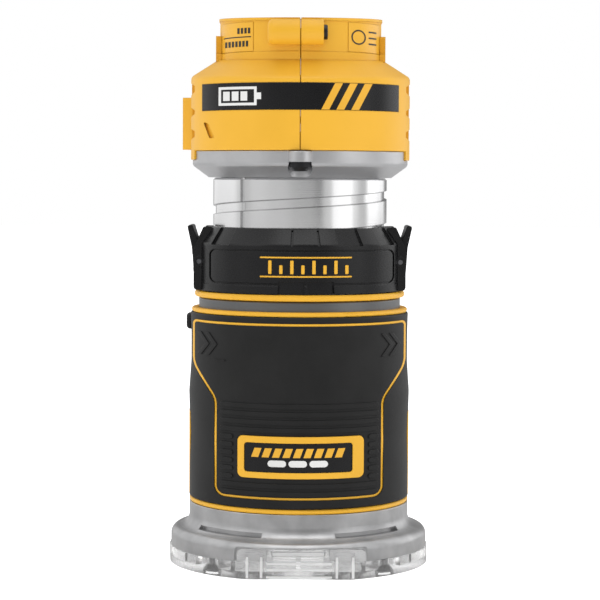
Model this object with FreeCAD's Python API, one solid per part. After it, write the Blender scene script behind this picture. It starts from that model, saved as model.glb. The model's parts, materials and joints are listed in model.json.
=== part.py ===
"""Compact cordless trim router, bare tool.

Millimetres. The Z axis is the spindle axis, +Z up, and the origin is on that axis in the
underside of the sub-base. -Y is the front of the tool, +X its right-hand side.
The motor pack is modelled in the middle of its depth travel.
"""
import FreeCAD, Part
import math
import os

# ---------------------------------------------------------------- driving dimensions
FRONT = -90.0                 # direction of the front of the tool, degrees about +Z
REAR = 90.0
RUNNING = 0.1                 # radial clearance of the sliding and running fits
SNUG = 0.05                   # gap between pieces that sit in each other's recesses

# motor sleeve and its depth thread
SLEEVE_R = 34.5
SLEEVE_BORE_R = 31.5
SLEEVE_BOTTOM = 52.0
SLEEVE_TOP = 152.5
THREAD_LEAD = 12.7
GROOVE_WIDTH = 3.6
GROOVE_DEPTH = 1.0
GROOVE_FRONT_Z = 142.8        # height of the groove's centre line where it passes the front
GROOVE_START_Z = 95.0
GROOVE_END_Z = 149.3
KEYWAY_ANGLE = -130.3
KEYWAY_WIDTH = 1.8
KEYWAY_DEPTH = 0.8

# sub-base
SUBBASE_R = 51.5
SUBBASE_FLAT_Y = -47.6
SUBBASE_TOP = 6.5
GUIDE_RECESS_R = 17.5         # seat of a template guide
GUIDE_RECESS_DEPTH = 2.4
GUIDE_BORE_R = 15.08
SCREW_CIRCLE_R = 44.25
SCREW_ANGLES = (45.0, 135.0, 225.0, 315.0)

# base casting
FLANGE_R = 51.0
SKIRT_R = 43.7
TUBE_R = 38.8
NECK_R = 37.5
NECK_TOP = 117.0
HOOK_GROOVE_R = 36.3
HOOK_GROOVE = (109.5, 113.0)

# grip
GRIP_BOTTOM = 24.1
GRIP_TOP = 101.3
LIP_BOTTOM = 99.5             # underside of the core's lip, which caps the overmould
CORE_R = 41.0

# clamp and its lever
SLIT_WIDTH = 2.5
BOLT_Y = 47.0
BOLT_Z = 94.5
BOLT_R = 2.0
LEVER_PIN_X = -14.5
LEVER_PIN_R = 2.0
EAR_FACE_X = 8.0
WASHER_THICK = 1.5

# depth ring
RING_BOTTOM = 108.3
RING_TOP = 133.2
RING_R = 41.0
RING_SHOULDER_Z = 126.8       # the wall ends here and the shoulder slopes in to the rim
RING_RIM_R = 36.6
RING_THREAD_Z = 124.5
TAB_PIN_X = 39.6
TAB_PIN_Z = 119.6
TAB_PIN_R = 1.0
TAB_HALF_WIDTH = 9.8

# head
FLANGE_TOP = 162.9
FLANGE_OUTER_R = 42.7
HEAD_BOTTOM = 163.0
HEAD_R = 43.4
HEAD_WALL = 2.6
CREASE_RADIUS = 2.2           # rounding between the head's drum and its shoulder cone
SKIRT_INNER_R = 41.3          # side skirts of the head that hang over the flange
SKIRT_HALF_ANGLE = 17.2
COLLAR_R = 32.3
COLLAR_TOP = 215.1
COLLAR_SIDE_REAR_Y = 26.0
COLLAR_CORNER = 3.8           # rounding of the collar's rear corners, less than its wall
COLLAR_TILT = 2.5             # the front of the collar's rim dips by this angle
RECEPTACLE_FLOOR = 200.0
RECEPTACLE_HALF = 28.0
RAIL_INNER = 24.5

# power switch and speed dial
SWITCH_ANGLE = 155.0
SWITCH_PIVOT_R = 43.8
SWITCH_Z = 174.0
ROCKER_OFF_TILT = 8.0         # at rest the rocker is off, with its top edge out
DIAL_ANGLE = 40.0
DIAL_CENTRE_R = 36.5
DIAL_R = 9.0
DIAL_Z = (172.0, 178.0)
DIAL_SHAFT_R = 1.5

# spindle line
SHAFT_R = 5.0
SHAFT_UPPER_R = 4.0
NOSE_R = 7.6
COLLET_BORE_R = 3.2
COLLET_BOTTOM = 23.5
NUT_Z = (24.0, 44.0)
LOWER_BEARING = (5.0, 13.0, 51.5, 59.5)     # bore radius, outer radius, bottom, top
UPPER_BEARING = (4.0, 11.0, 145.0, 152.0)
STATOR_Z = (74.0, 118.0)
FAN_Z = (128.0, 139.0)
LOCK_DISC_Z = (156.5, 160.7)
LOCK_Z = 158.6
LOCK_SEAT_Y = 30.6            # floor of the lock button's bore, where its spring stands


# ---------------------------------------------------------------- helpers
def vec(x, y, z):
    return FreeCAD.Vector(x, y, z)


Z_AXIS = vec(0, 0, 1)
ORIGIN = vec(0, 0, 0)


def polar(radius, degrees, z=0.0):
    """Point at a radius and direction about the spindle axis."""
    angle = math.radians(degrees)
    return vec(radius * math.cos(angle), radius * math.sin(angle), z)


def rounded_wire(corners):
    """Closed wire in the X-Z plane through (x, z) or (x, z, radius) corners.

    A corner with a radius is an arc tangent to both of its sides.
    """
    count = len(corners)
    starts = []
    ends = []
    edges = []
    for index, corner in enumerate(corners):
        here = vec(corner[0], 0, corner[1])
        radius = corner[2] if len(corner) == 3 else 0.0
        if radius == 0.0:
            starts.append(here)
            ends.append(here)
            continue
        before = corners[index - 1]
        after = corners[(index + 1) % count]
        back = vec(before[0], 0, before[1]).sub(here).normalize()
        ahead = vec(after[0], 0, after[1]).sub(here).normalize()
        half_angle = back.getAngle(ahead) / 2
        reach = radius / math.tan(half_angle)
        bisector = (back + ahead).normalize()
        middle = here + bisector * (radius / math.sin(half_angle) - radius)
        starts.append(here + back * reach)
        ends.append(here + ahead * reach)
        edges.append(Part.Arc(starts[-1], middle, ends[-1]).toShape())
    for index in range(count):
        side_end = starts[(index + 1) % count]
        if ends[index].distanceToPoint(side_end) > 1e-4:
            edges.append(Part.LineSegment(ends[index], side_end).toShape())
    return Part.Wire(Part.__sortEdges__(edges))


def turned(profile, sweep=360.0):
    """Solid of revolution about Z of a closed profile of (radius, z[, corner radius]) corners."""
    face = Part.Face(rounded_wire(profile))
    return face.revolve(ORIGIN, Z_AXIS, sweep)


def disc(radius, bottom, top, x=0.0, y=0.0):
    return Part.makeCylinder(radius, top - bottom, vec(x, y, bottom), Z_AXIS)


def tube(inner, outer, bottom, top, x=0.0, y=0.0):
    return disc(outer, bottom, top, x, y).cut(disc(inner, bottom - 1, top + 1, x, y))


def block(x_range, y_range, z_range):
    (x0, x1), (y0, y1), (z0, z1) = x_range, y_range, z_range
    return Part.makeBox(x1 - x0, y1 - y0, z1 - z0, vec(x0, y0, z0))


def rod(radius, start, end):
    """Round bar between two points."""
    direction = end.sub(start)
    return Part.makeCylinder(radius, direction.Length, start, direction)


def spun(shape, degrees):
    copy = shape.copy()
    copy.rotate(ORIGIN, Z_AXIS, degrees)
    return copy


def mirrored_x(shape):
    return shape.mirror(ORIGIN, vec(1, 0, 0))


def sector(inner, outer, bottom, top, middle, half):
    """Curved plate about the spindle axis, from middle - half to middle + half degrees."""
    profile = [(inner, bottom), (outer, bottom), (outer, top), (inner, top)]
    return spun(turned(profile, 2 * half), middle - half)


def joined(*shapes):
    return shapes[0].multiFuse(list(shapes[1:])).removeSplitter()


def without(shape, *cutters):
    return shape.cut(Part.makeCompound(list(cutters)))


def facing(shape, degrees):
    """Turn a shape that was built facing +X so that it faces the given direction."""
    return spun(shape, degrees)


def save(name, *shapes):
    """Write the solids of one node."""
    solids = [solid for shape in shapes for solid in shape.Solids]
    body = solids[0] if len(solids) == 1 else Part.makeCompound(solids)
    body.exportStep("parts/" + name + ".step")


def front_slab(wire, offset=0.0):
    """The outline, grown by offset, pushed out of the X-Z plane through the front of the tool."""
    if offset:
        wire = wire.makeOffset2D(offset)
    return Part.Face(wire).extrude(vec(0, -60, 0))


def helical_bar(inner, outer, height, start_z, end_z, reference_z):
    """Bar of rectangular section that winds up the depth thread's helix.

    The helix passes the front of the tool at reference_z.
    """
    helix = Part.makeHelix(THREAD_LEAD, end_z - start_z, (inner + outer) / 2)
    corners = [
        vec(inner, 0, -height / 2),
        vec(outer, 0, -height / 2),
        vec(outer, 0, height / 2),
        vec(inner, 0, height / 2),
    ]
    section = Part.makePolygon(corners + corners[:1])
    bar = Part.Wire(helix).makePipeShell([section], True, True)
    turns = (start_z - reference_z) / THREAD_LEAD
    bar = spun(bar, FRONT + 360.0 * turns)
    bar.translate(vec(0, 0, start_z))
    return bar


# ---------------------------------------------------------------- sub-base and casting
def subbase_outline(radius, flat_y, bottom, top):
    plate = disc(radius, bottom, top)
    return plate.common(block((-60, 60), (flat_y, 60), (bottom, top)))


def screw_places(radius=SCREW_CIRCLE_R):
    return [polar(radius, angle) for angle in SCREW_ANGLES]


def countersunk_screw(place, grow=0.0):
    """Flat head, cone and shank, seen from below."""
    profile = [
        (0, 0.8 - 3 * grow),
        (4.0 + grow, 0.8 - 3 * grow),
        (4.0 + grow, 1.3),
        (2.0 + grow, 3.5),
        (2.0 + grow, 14.0 + grow),
        (0, 14.0 + grow),
    ]
    screw = turned(profile)
    screw.translate(place)
    return screw


def hex_socket(place, across, bottom, top):
    corners = [polar(across / math.sqrt(3), 60 * step) for step in range(7)]
    prism = Part.Face(Part.makePolygon(corners)).extrude(vec(0, 0, top - bottom))
    prism.translate(vec(place.x, place.y, bottom))
    return prism


def make_subbase():
    plate_top = 2.6
    rim = 2.4
    plate = subbase_outline(SUBBASE_R, SUBBASE_FLAT_Y, 0, SUBBASE_TOP)
    hollow = subbase_outline(SUBBASE_R - rim, SUBBASE_FLAT_Y + rim, plate_top, SUBBASE_TOP + 1)
    bosses = [disc(GUIDE_RECESS_R + 4, 0, SUBBASE_TOP)]
    bosses += [disc(6.0, 0, SUBBASE_TOP, place.x, place.y) for place in screw_places()]
    web = block((SCREW_CIRCLE_R, SUBBASE_R), (-6.0, 6.0), (0, SUBBASE_TOP))
    bosses += [spun(web, angle) for angle in SCREW_ANGLES]
    rib = block((GUIDE_RECESS_R, SUBBASE_R - 1), (-0.9, 0.9), (0, SUBBASE_TOP))
    ribs = [spun(rib, angle) for angle in range(0, 360, 30)]
    inside = joined(*(bosses + ribs))
    inside = inside.common(subbase_outline(SUBBASE_R - 0.5, SUBBASE_FLAT_Y + 0.5, 0, SUBBASE_TOP))
    body = joined(plate.cut(hollow), inside)
    wall = rounded_wire([(-23.4, 6, 0.5), (-23.4, 11.6, 2.0), (25.8, 11.6, 2.0), (25.8, 6, 0.5)])
    pane = rounded_wire([(-10.3, 8.6, 0.9), (-10.3, 10.7, 0.9), (10.3, 10.7, 0.9), (10.3, 8.6, 0.9)])
    pane_recess = front_slab(pane).common(block((-30, 30), (-60, SUBBASE_FLAT_Y + 1.2), (5, 13)))
    shield = front_slab(wall).common(block((-30, 30), (SUBBASE_FLAT_Y, SUBBASE_FLAT_Y + 2.2), (5, 13)))
    posts = [block(x_range, (SUBBASE_FLAT_Y + 2, SUBBASE_FLAT_Y + 3.6), (1, 10))
             for x_range in ((-20.0, -13.2), (13.8, 21.6))]
    moulded_lines = [block((-12.5, 13.2), (SUBBASE_FLAT_Y - 1, SUBBASE_FLAT_Y + 0.4), (z, z + 0.4))
                     for z in (2.5, 4.9)]
    body = joined(body, shield, *posts)
    body = without(body, pane_recess, *moulded_lines)
    body = without(
        body,
        disc(GUIDE_RECESS_R, -1, GUIDE_RECESS_DEPTH),
        disc(GUIDE_BORE_R, -1, SUBBASE_TOP + 1),
    )
    holes = [countersunk_screw(place, SNUG) for place in screw_places()]
    entries = [disc(4.0 + SNUG, -1, 1.0, place.x, place.y) for place in screw_places()]
    return without(body, *(holes + entries))


def make_subbase_screws():
    screws = []
    for place in screw_places():
        screws.append(countersunk_screw(place).cut(hex_socket(place, 2.5, 0.5, 2.6)))
    return screws


CASTING_OUTSIDE = [
    (FLANGE_R, 6.5),
    (FLANGE_R, 13.4, 3.2),
    (47.6, 14.2, 1.5),
    (SKIRT_R, 15.6, 4.6),
    (SKIRT_R, 24.0, 0.4),
    (TUBE_R, 24.0),
    (TUBE_R, 100.4),
    (40.1, 100.4, 0.3),
    (40.1, 105.2, 0.7),
    (NECK_R, 105.2),
]


def make_base_casting():
    bore = SLEEVE_R + RUNNING
    inside = [(bore - 0.8, NECK_TOP), (bore, NECK_TOP - 0.8), (bore, 30.0), (31.0, 24.0), (31.0, 6.5)]
    neck = [(NECK_R, HOOK_GROOVE[0]), (HOOK_GROOVE_R, HOOK_GROOVE[0]),
            (HOOK_GROOVE_R, HOOK_GROOVE[1]), (NECK_R, HOOK_GROOVE[1]), (NECK_R, NECK_TOP)]
    inside[0] = (bore + 0.6, NECK_TOP)
    inside[1] = (bore, NECK_TOP - 0.6)
    body = turned(CASTING_OUTSIDE + neck + inside)
    ear = block((SLIT_WIDTH / 2, EAR_FACE_X), (36.2, 51.0), (BOLT_Z - 6.5, BOLT_Z + 5.8))
    body = joined(body, ear, mirrored_x(ear))
    bore_cut = disc(bore, 30, NECK_TOP + 1)
    channel = [(35.5, 6.4), (41.0, 6.4), (41.0, 11.5), (35.5, 13.5)]
    pockets = [spun(turned(channel, 38.0), angle + 3.5) for angle in range(0, 360, 45)]
    slot = sector(43.2, 50.0, 15.1, 16.6, 0, 20.6)
    slots = [spun(slot, side + offset) for side in (FRONT, REAR) for offset in (-38.9, 38.9)]
    notch_outline = rounded_wire([(-24.2, 5.0), (-24.2, 12.0, 1.4), (26.6, 12.0, 1.4), (26.6, 5.0)])
    front_notch = front_slab(notch_outline).common(
        block((-30, 30), (-60, SUBBASE_FLAT_Y + 3.9), (5, 12.4)))
    front_port = block((-12, 12), (-50, -25), (5, 12.0))
    rear_port = block((-17, 17), (25, 60), (5, 19.0))
    slit = block((-SLIT_WIDTH / 2, SLIT_WIDTH / 2), (30, 60), (76, NECK_TOP + 1))
    slit_foot = block((-16, 16), (30, 60), (74, 76))
    bolt_hole = rod(BOLT_R + 0.2, vec(-20, BOLT_Y, BOLT_Z), vec(20, BOLT_Y, BOLT_Z))
    key = make_alignment_key()
    holes = [disc(2.0 + SNUG, 6, 14.0 + SNUG, place.x, place.y) for place in screw_places()]
    body = without(body, bore_cut, front_notch, front_port, rear_port, slit, slit_foot, bolt_hole)
    body = without(body, key, *(pockets + slots + holes))
    return body


def make_alignment_key():
    """Feather key in the bore; it keeps the motor from turning with the depth ring."""
    half = KEYWAY_WIDTH / 2 - RUNNING
    key = block((SLEEVE_R - KEYWAY_DEPTH + 0.15, SLEEVE_R + 2.2), (-half, half), (84, 98))
    return facing(key, KEYWAY_ANGLE)


# ---------------------------------------------------------------- grip
def panel_wire():
    """Outline of the raised front of the grip: wide at the top, waisted below the thumb."""
    return rounded_wire([
        (-42.0, 97.0, 2.0),
        (42.0, 97.0, 2.0),
        (42.0, 79.8, 9.0),
        (32.7, 67.0, 7.0),
        (32.7, 29.6, 4.0),
        (-32.7, 29.6, 4.0),
        (-32.7, 67.0, 7.0),
        (-42.0, 79.8, 9.0),
    ])


RIDGE = 0.9                   # width of the core's ridge that shows round the front panel
CLAMP_OPENING = ((-19.0, 19.0), (20.0, 60.0), (72.0, 102.0))
INSERT_HALF_ANGLE = 9.0


def side_insert(grow=0.0):
    plate = sector(CORE_R + SNUG, 43.9, 27.0 - grow, 60.0 + grow, 0, INSERT_HALF_ANGLE + grow)
    return plate


def make_grip_core():
    shell = turned([
        (TUBE_R + SNUG, GRIP_BOTTOM),
        (43.7, GRIP_BOTTOM, 0.8),
        (43.7, 26.0, 0.8),
        (CORE_R, 26.0),
        (CORE_R, LIP_BOTTOM),
        (42.9, LIP_BOTTOM, 0.7),
        (42.9, GRIP_TOP, 0.7),
        (40.2, GRIP_TOP),
        (40.2, 100.3),
        (TUBE_R + SNUG, 100.3),
    ])
    pad = tube(CORE_R - 0.5, 43.45, 26, LIP_BOTTOM).common(front_slab(panel_wire()))
    recess = tube(CORE_R + 0.6, 50, 26, LIP_BOTTOM).common(front_slab(panel_wire(), -RIDGE))
    core = joined(shell, pad).cut(recess)
    core = without(core, block(*CLAMP_OPENING))
    return core


def make_grip_overmould():
    body = turned([
        (CORE_R + SNUG, 26.05),
        (43.9, 26.05, 0.7),
        (43.9, 38.0, 60.0),
        (43.5, 51.0, 60.0),
        (43.95, 68.0, 25.0),
        (43.1, 80.0, 25.0),
        (43.1, 91.0, 60.0),
        (43.35, LIP_BOTTOM - SNUG, 0.7),
        (CORE_R + SNUG, LIP_BOTTOM - SNUG),
    ])
    inserts = [side_insert(SNUG), spun(side_insert(SNUG), 180)]
    return without(body, front_slab(panel_wire(), SNUG), block(*CLAMP_OPENING), *inserts)


BADGE = (-23.5, 25.0, 37.9, 54.0)
BADGE_WINDOW = (-20.9, 20.6, 40.2, 51.5)


def rectangle_slab(bounds, corner, grow=0.0):
    x0, x1, z0, z1 = bounds
    wire = rounded_wire([
        (x0 - grow, z0 - grow, corner),
        (x0 - grow, z1 + grow, corner),
        (x1 + grow, z1 + grow, corner),
        (x1 + grow, z0 - grow, corner),
    ])
    return front_slab(wire)


def make_grip_front_panel():
    body = tube(CORE_R + 0.65, 43.65, 26, LIP_BOTTOM).common(front_slab(panel_wire(), -RIDGE - SNUG))
    recess = tube(43.0, 50, 30, 60).common(rectangle_slab(BADGE, 2.2, SNUG))
    return body.cut(recess)


def make_badge_frame():
    frame = tube(43.0 + SNUG, 44.3, 30, 60).common(rectangle_slab(BADGE, 2.2))
    return frame.cut(rectangle_slab(BADGE_WINDOW, 1.2))


def make_badge_plate():
    plate = tube(43.0 + SNUG, 44.0, 30, 60)
    return plate.common(rectangle_slab(BADGE_WINDOW, 1.2, -SNUG))


# ---------------------------------------------------------------- clamp and locking lever
def make_clamp_bolt():
    """Eye bolt: the lever's pin goes through the eye, the nut is on the far ear."""
    eye_half = 2.4
    shank = rod(BOLT_R, vec(LEVER_PIN_X, BOLT_Y, BOLT_Z), vec(EAR_FACE_X + 8, BOLT_Y, BOLT_Z))
    eye = disc(3.6, BOLT_Z - eye_half, BOLT_Z + eye_half, LEVER_PIN_X, BOLT_Y)
    hole = disc(LEVER_PIN_R, BOLT_Z - 10, BOLT_Z + 10, LEVER_PIN_X, BOLT_Y)
    return joined(shank, eye).cut(hole)


def make_clamp_nut():
    corners = [vec(0, 3.9 * math.cos(math.radians(60 * step)), 3.9 * math.sin(math.radians(60 * step)))
               for step in range(7)]
    nut = Part.Face(Part.makePolygon(corners)).extrude(vec(4.0, 0, 0))
    nut.translate(vec(EAR_FACE_X, BOLT_Y, BOLT_Z))
    hole = rod(BOLT_R, vec(0, BOLT_Y, BOLT_Z), vec(30, BOLT_Y, BOLT_Z))
    return nut.cut(hole)


def make_clamp_washer():
    start = vec(-EAR_FACE_X - WASHER_THICK, BOLT_Y, BOLT_Z)
    end = vec(-EAR_FACE_X, BOLT_Y, BOLT_Z)
    hole = rod(BOLT_R, vec(-30, BOLT_Y, BOLT_Z), vec(0, BOLT_Y, BOLT_Z))
    return rod(4.4, start, end).cut(hole)


def make_lever_pin():
    return disc(LEVER_PIN_R, BOLT_Z - 6.8, BOLT_Z + 6.8, LEVER_PIN_X, BOLT_Y)


def make_locking_lever():
    """Cam lever: two cam cheeks on the pin and a curved arm round the left of the grip."""
    eccentric = 0.4
    cam_r = 4.5
    arm_z = (BOLT_Z - 3.4, BOLT_Z + 3.4)
    cheek_z = (BOLT_Z - 6.2, BOLT_Z + 6.2)
    fork_gap = 2.8
    cheeks = disc(cam_r, cheek_z[0], cheek_z[1], LEVER_PIN_X + eccentric, BOLT_Y)
    web = block((-23.5, -17.5), (BOLT_Y - 4.5, BOLT_Y + 4.4), cheek_z)
    rounding = 1.6
    arm = turned([
        (44.6, arm_z[0]), (48.0, arm_z[0], rounding), (48.0, arm_z[1], rounding), (44.6, arm_z[1])], 50.0)
    arm = spun(arm, 112.5)
    tip_place = polar(46.3, 162.5)
    tip = disc(1.7, arm_z[0], arm_z[1], tip_place.x, tip_place.y)
    tip = tip.makeFillet(rounding, [edge for edge in tip.Edges if edge.Closed])
    throat = sector(44.6, 50.2, cheek_z[0], cheek_z[1], 118.5, 4.5)
    lever = joined(cheeks, web, arm, throat, tip)
    gap = block((-18.9, -5), (BOLT_Y - 8, BOLT_Y + 8), (BOLT_Z - fork_gap, BOLT_Z + fork_gap))
    pin = disc(LEVER_PIN_R + 0.06, cheek_z[0] - 1, cheek_z[1] + 1, LEVER_PIN_X, BOLT_Y)
    grip_clearance = disc(44.35, cheek_z[0] - 1, cheek_z[1] + 1)
    return without(lever, gap, pin, grip_clearance)


# ---------------------------------------------------------------- depth ring
def shoulder_recess(depth, middle, half, top=140.0):
    """Recess of even depth in the ring's sloped shoulder, at an angle off its front or rear."""
    outside = 46.0
    profile = [
        (RING_R - depth, RING_SHOULDER_Z - 0.3),
        (outside, RING_SHOULDER_Z - 0.3),
        (outside, top),
        (RING_RIM_R - depth, top),
        (RING_RIM_R - depth, min(top, RING_TOP)),
    ]
    if top < RING_TOP:
        slope = (RING_R - RING_RIM_R) / (RING_TOP - RING_SHOULDER_Z)
        profile = profile[:3] + [(RING_RIM_R - depth + slope * (RING_TOP - top), top)]
    return spun(turned(profile, 2 * half), middle - half)


SHOULDER_POCKETS = ((-49.5, 7.5), (28.8, 7.7), (57.0, 7.5))     # middle and half angle
SHOULDER_GROOVES = (-4.3, 10.6)
EAR_OUTER_X = 41.7
EAR_Y = (11.0, 13.6)


def ring_ear():
    """Cheek beside a release tab; its outer edge follows the ring's shoulder."""
    outline = rounded_wire([
        (36.5, RING_BOTTOM),
        (EAR_OUTER_X, RING_BOTTOM, 1.5),
        (EAR_OUTER_X, 124.8, 7.0),
        (37.9, RING_TOP, 0.8),
        (34.6, RING_TOP),
        (34.6, 118.5),
        (36.5, 118.5),
    ])
    cheek = Part.Face(outline).extrude(vec(0, EAR_Y[1] - EAR_Y[0], 0))
    cheek.translate(vec(0, EAR_Y[0], 0))
    lug = rod(2.1, vec(TAB_PIN_X, EAR_Y[0], TAB_PIN_Z), vec(TAB_PIN_X, EAR_Y[1] + 0.3, TAB_PIN_Z))
    return joined(cheek, lug)


def make_depth_ring():
    bore = SLEEVE_R + 0.4
    neck_bore = NECK_R + 0.3
    lip_top = 111.2
    body = turned([
        (neck_bore, RING_BOTTOM),
        (RING_R + 0.2, RING_BOTTOM),
        (RING_R + 0.2, lip_top),
        (RING_R, lip_top),
        (RING_R, RING_SHOULDER_Z, 1.6),
        (RING_RIM_R, RING_TOP, 0.9),
        (bore, RING_TOP, 0.3),
        (bore, NECK_TOP + 0.4),
        (neck_bore, NECK_TOP + 0.4),
    ])
    ear = ring_ear()
    ears = [ear, ear.mirror(ORIGIN, vec(0, 1, 0))]
    ears += [spun(piece, 180) for piece in ears]
    body = joined(body, *ears)
    well = block((37.4, 50), (-EAR_Y[0], EAR_Y[0]), (NECK_TOP + 0.6, RING_TOP + 2))
    window = block((36.0, 50), (-EAR_Y[0], EAR_Y[0]), (RING_BOTTOM - 1, NECK_TOP + 0.6))
    pin = rod(TAB_PIN_R, vec(TAB_PIN_X, -14.0, TAB_PIN_Z), vec(TAB_PIN_X, 14.0, TAB_PIN_Z))
    cuts = []
    for angle in (0, 180):
        cuts += [spun(well, angle), spun(window, angle), spun(pin, angle)]
    for side in (FRONT, REAR):
        cuts += [shoulder_recess(0.9, side + middle, half) for middle, half in SHOULDER_POCKETS]
        cuts += [shoulder_recess(0.7, side + middle, 0.55, 132.4) for middle in SHOULDER_GROOVES]
    body = without(body, *cuts)
    outer_line = rectangle_slab((-35.1, 36.9, 111.7, 125.0), 2.6)
    inner_line = rectangle_slab((-34.5, 36.3, 112.3, 124.4), 2.1)
    panel = tube(RING_R - 0.5, 50, 100, 140).common(outer_line.cut(inner_line))
    notch = rounded_wire([(-8.0, 113.4, 0.6), (13.0, 113.4, 0.6), (14.0, 100.0, 0.5), (-9.0, 100.0, 0.5)])
    index_notch = front_slab(notch).common(tube(RING_R - 0.9, 50, 100, 112.9))
    index_mark = rounded_wire([
        (1.9, 113.4), (2.9, 113.4), (2.9, 109.2), (3.4, 108.2), (1.5, 108.2), (1.9, 109.2)])
    index_notch = index_notch.cut(front_slab(index_mark))
    return without(body, panel, index_notch)


def make_ring_thread():
    """Lug inside the ring that runs in the motor sleeve's helical groove."""
    reference = GROOVE_FRONT_Z - THREAD_LEAD
    half_rise = 3.6
    lug_width = GROOVE_WIDTH - 0.6
    lug = helical_bar(SLEEVE_R - 0.7, SLEEVE_R + 0.38, lug_width,
                      RING_THREAD_Z - half_rise, RING_THREAD_Z + half_rise, reference)
    return lug


def make_ring_badge():
    """Generic ruler mark on the front of the ring: two lines and a row of ticks."""
    marks = [rectangle_slab((-15.2, 20.0, 121.9, 122.5), 0.25),
             rectangle_slab((-15.2, 20.0, 114.6, 115.2), 0.25)]
    for step in range(8):
        x = -12.0 + 4.2 * step
        tall = 5.2 if step % 2 == 0 else 3.4
        marks.append(rectangle_slab((x, x + 1.3, 115.9, 115.9 + tall), 0.3))
    plate = tube(RING_R, RING_R + 0.22, 113, 123)
    return [plate.common(mark) for mark in marks]


def make_tab_pins():
    reach = EAR_Y[1] + 0.1
    pin = rod(TAB_PIN_R, vec(TAB_PIN_X, -reach, TAB_PIN_Z), vec(TAB_PIN_X, reach, TAB_PIN_Z))
    return [pin, spun(pin, 180)]


def make_tab_springs():
    """Torsion coils on the tab pins."""
    wire_r = 0.3
    helix = Part.makeHelix(0.7, 2.1, TAB_PIN_R + 0.75)
    section = Part.Wire(Part.makeCircle(wire_r, vec(TAB_PIN_R + 0.75, 0, 0), vec(0, 1, 0)))
    coil = Part.Wire(helix).makePipeShell([section], True, True)
    coil.rotate(ORIGIN, vec(1, 0, 0), -90)
    coil.translate(vec(TAB_PIN_X, 8.4, TAB_PIN_Z))
    return [coil, spun(coil, 180)]


def make_scale_ring():
    inner = NECK_R + 0.3
    return turned([
        (inner, 105.45, 0.2),
        (41.8, 105.45, 1.0),
        (41.8, 107.85, 1.0),
        (inner, 107.85, 0.2),
    ])


def make_release_tab():
    """Right-hand tab: a lever that leans out above its pin and hooks the neck below it."""
    outline = [
        (36.7, 109.8, 0.3),
        (36.7, 111.4, 0.4),
        (37.6, 112.7),
        (38.6, 112.7),
        (38.9, 123.4, 6.0),
        (42.3, 133.8, 0.9),
        (44.5, 133.8, 1.0),
        (42.6, 125.2, 10.0),
        (42.0, 116.0, 3.0),
        (41.0, 109.8, 0.6),
    ]
    blade = Part.Face(rounded_wire(outline)).extrude(vec(0, 2 * TAB_HALF_WIDTH, 0))
    blade.translate(vec(0, -TAB_HALF_WIDTH, 0))
    boss = rod(2.0, vec(TAB_PIN_X, -8.0, TAB_PIN_Z), vec(TAB_PIN_X, 8.0, TAB_PIN_Z))
    tab = joined(blade, boss)
    spring_well = block((38.0, 43.0), (8.0, 10.0), (TAB_PIN_Z - 2.6, TAB_PIN_Z + 2.6))
    hole = rod(TAB_PIN_R + 0.06, vec(TAB_PIN_X, -20, TAB_PIN_Z), vec(TAB_PIN_X, 20, TAB_PIN_Z))
    relief = disc(NECK_R + 0.35, 105, 109.7)
    hook_ends = [block((30, 38.5), (5.5, 12), (105, 113)), block((30, 38.5), (-12, -5.5), (105, 113))]
    return without(tab, hole, spring_well, relief, *hook_ends)


# ---------------------------------------------------------------- motor
def make_motor_sleeve():
    body = turned([
        (SLEEVE_BORE_R, SLEEVE_BOTTOM),
        (SLEEVE_R - 0.8, SLEEVE_BOTTOM),
        (SLEEVE_R, SLEEVE_BOTTOM + 0.8),
        (SLEEVE_R, SLEEVE_TOP - 0.8),
        (SLEEVE_R - 0.8, SLEEVE_TOP),
        (SLEEVE_BORE_R, SLEEVE_TOP),
    ])
    groove = helical_bar(SLEEVE_R - GROOVE_DEPTH, SLEEVE_R + 1.0, GROOVE_WIDTH,
                         GROOVE_START_Z, GROOVE_END_Z, GROOVE_FRONT_Z)
    keyway = block((SLEEVE_R - KEYWAY_DEPTH, SLEEVE_R + 1),
                   (-KEYWAY_WIDTH / 2, KEYWAY_WIDTH / 2),
                   (SLEEVE_BOTTOM - 1, SLEEVE_TOP + 1))
    return body.cut(groove).cut(facing(keyway, KEYWAY_ANGLE))


LED_PLACES = ((20.5, 0.0), (-20.5, 0.0))


def make_nose_bell():
    bearing_r = LOWER_BEARING[1]
    body = turned([
        (10.0, 50.0),
        (26.0, 50.0),
        (31.4, 53.0),
        (31.4, 60.0),
        (29.5, 60.0),
        (29.5, 55.5),
        (16.0, 55.5),
        (16.0, 60.5),
        (bearing_r, 60.5),
        (bearing_r, LOWER_BEARING[2]),
        (10.0, LOWER_BEARING[2]),
    ])
    pockets = [disc(3.0, 49, 56, x, y) for x, y in LED_PLACES]
    return without(body, *pockets)


def make_led_lenses():
    lenses = []
    for x, y in LED_PLACES:
        dome = Part.makeSphere(3.4, vec(x, y, 51.6)).common(disc(2.95, 48, 51.6, x, y))
        lenses.append(joined(dome, disc(2.95, 51.6, 54.5, x, y)))
    return lenses


def make_led_board():
    board = tube(17.0, 28.5, 55.7, 57.0)
    chips = [block((x - 1.6, x + 1.6), (y - 1.6, y + 1.6), (57.0, 58.2)) for x, y in LED_PLACES]
    return joined(board, *chips)


BEARINGS = (LOWER_BEARING, UPPER_BEARING)
BALL_COUNT = 8


def race_split(bearing):
    """Pitch radius and ball radius of a ball bearing."""
    bore, outer, _, _ = bearing
    return (bore + outer) / 2, (outer - bore) * 0.27


def make_bearing_outer_races():
    races = []
    for bearing in BEARINGS:
        _, outer, bottom, top = bearing
        pitch, ball = race_split(bearing)
        race = tube(pitch + ball * 0.72, outer, bottom, top)
        torus = Part.makeTorus(pitch, ball + 0.03, vec(0, 0, (bottom + top) / 2), Z_AXIS)
        races.append(race.cut(torus))
    return races


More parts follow.
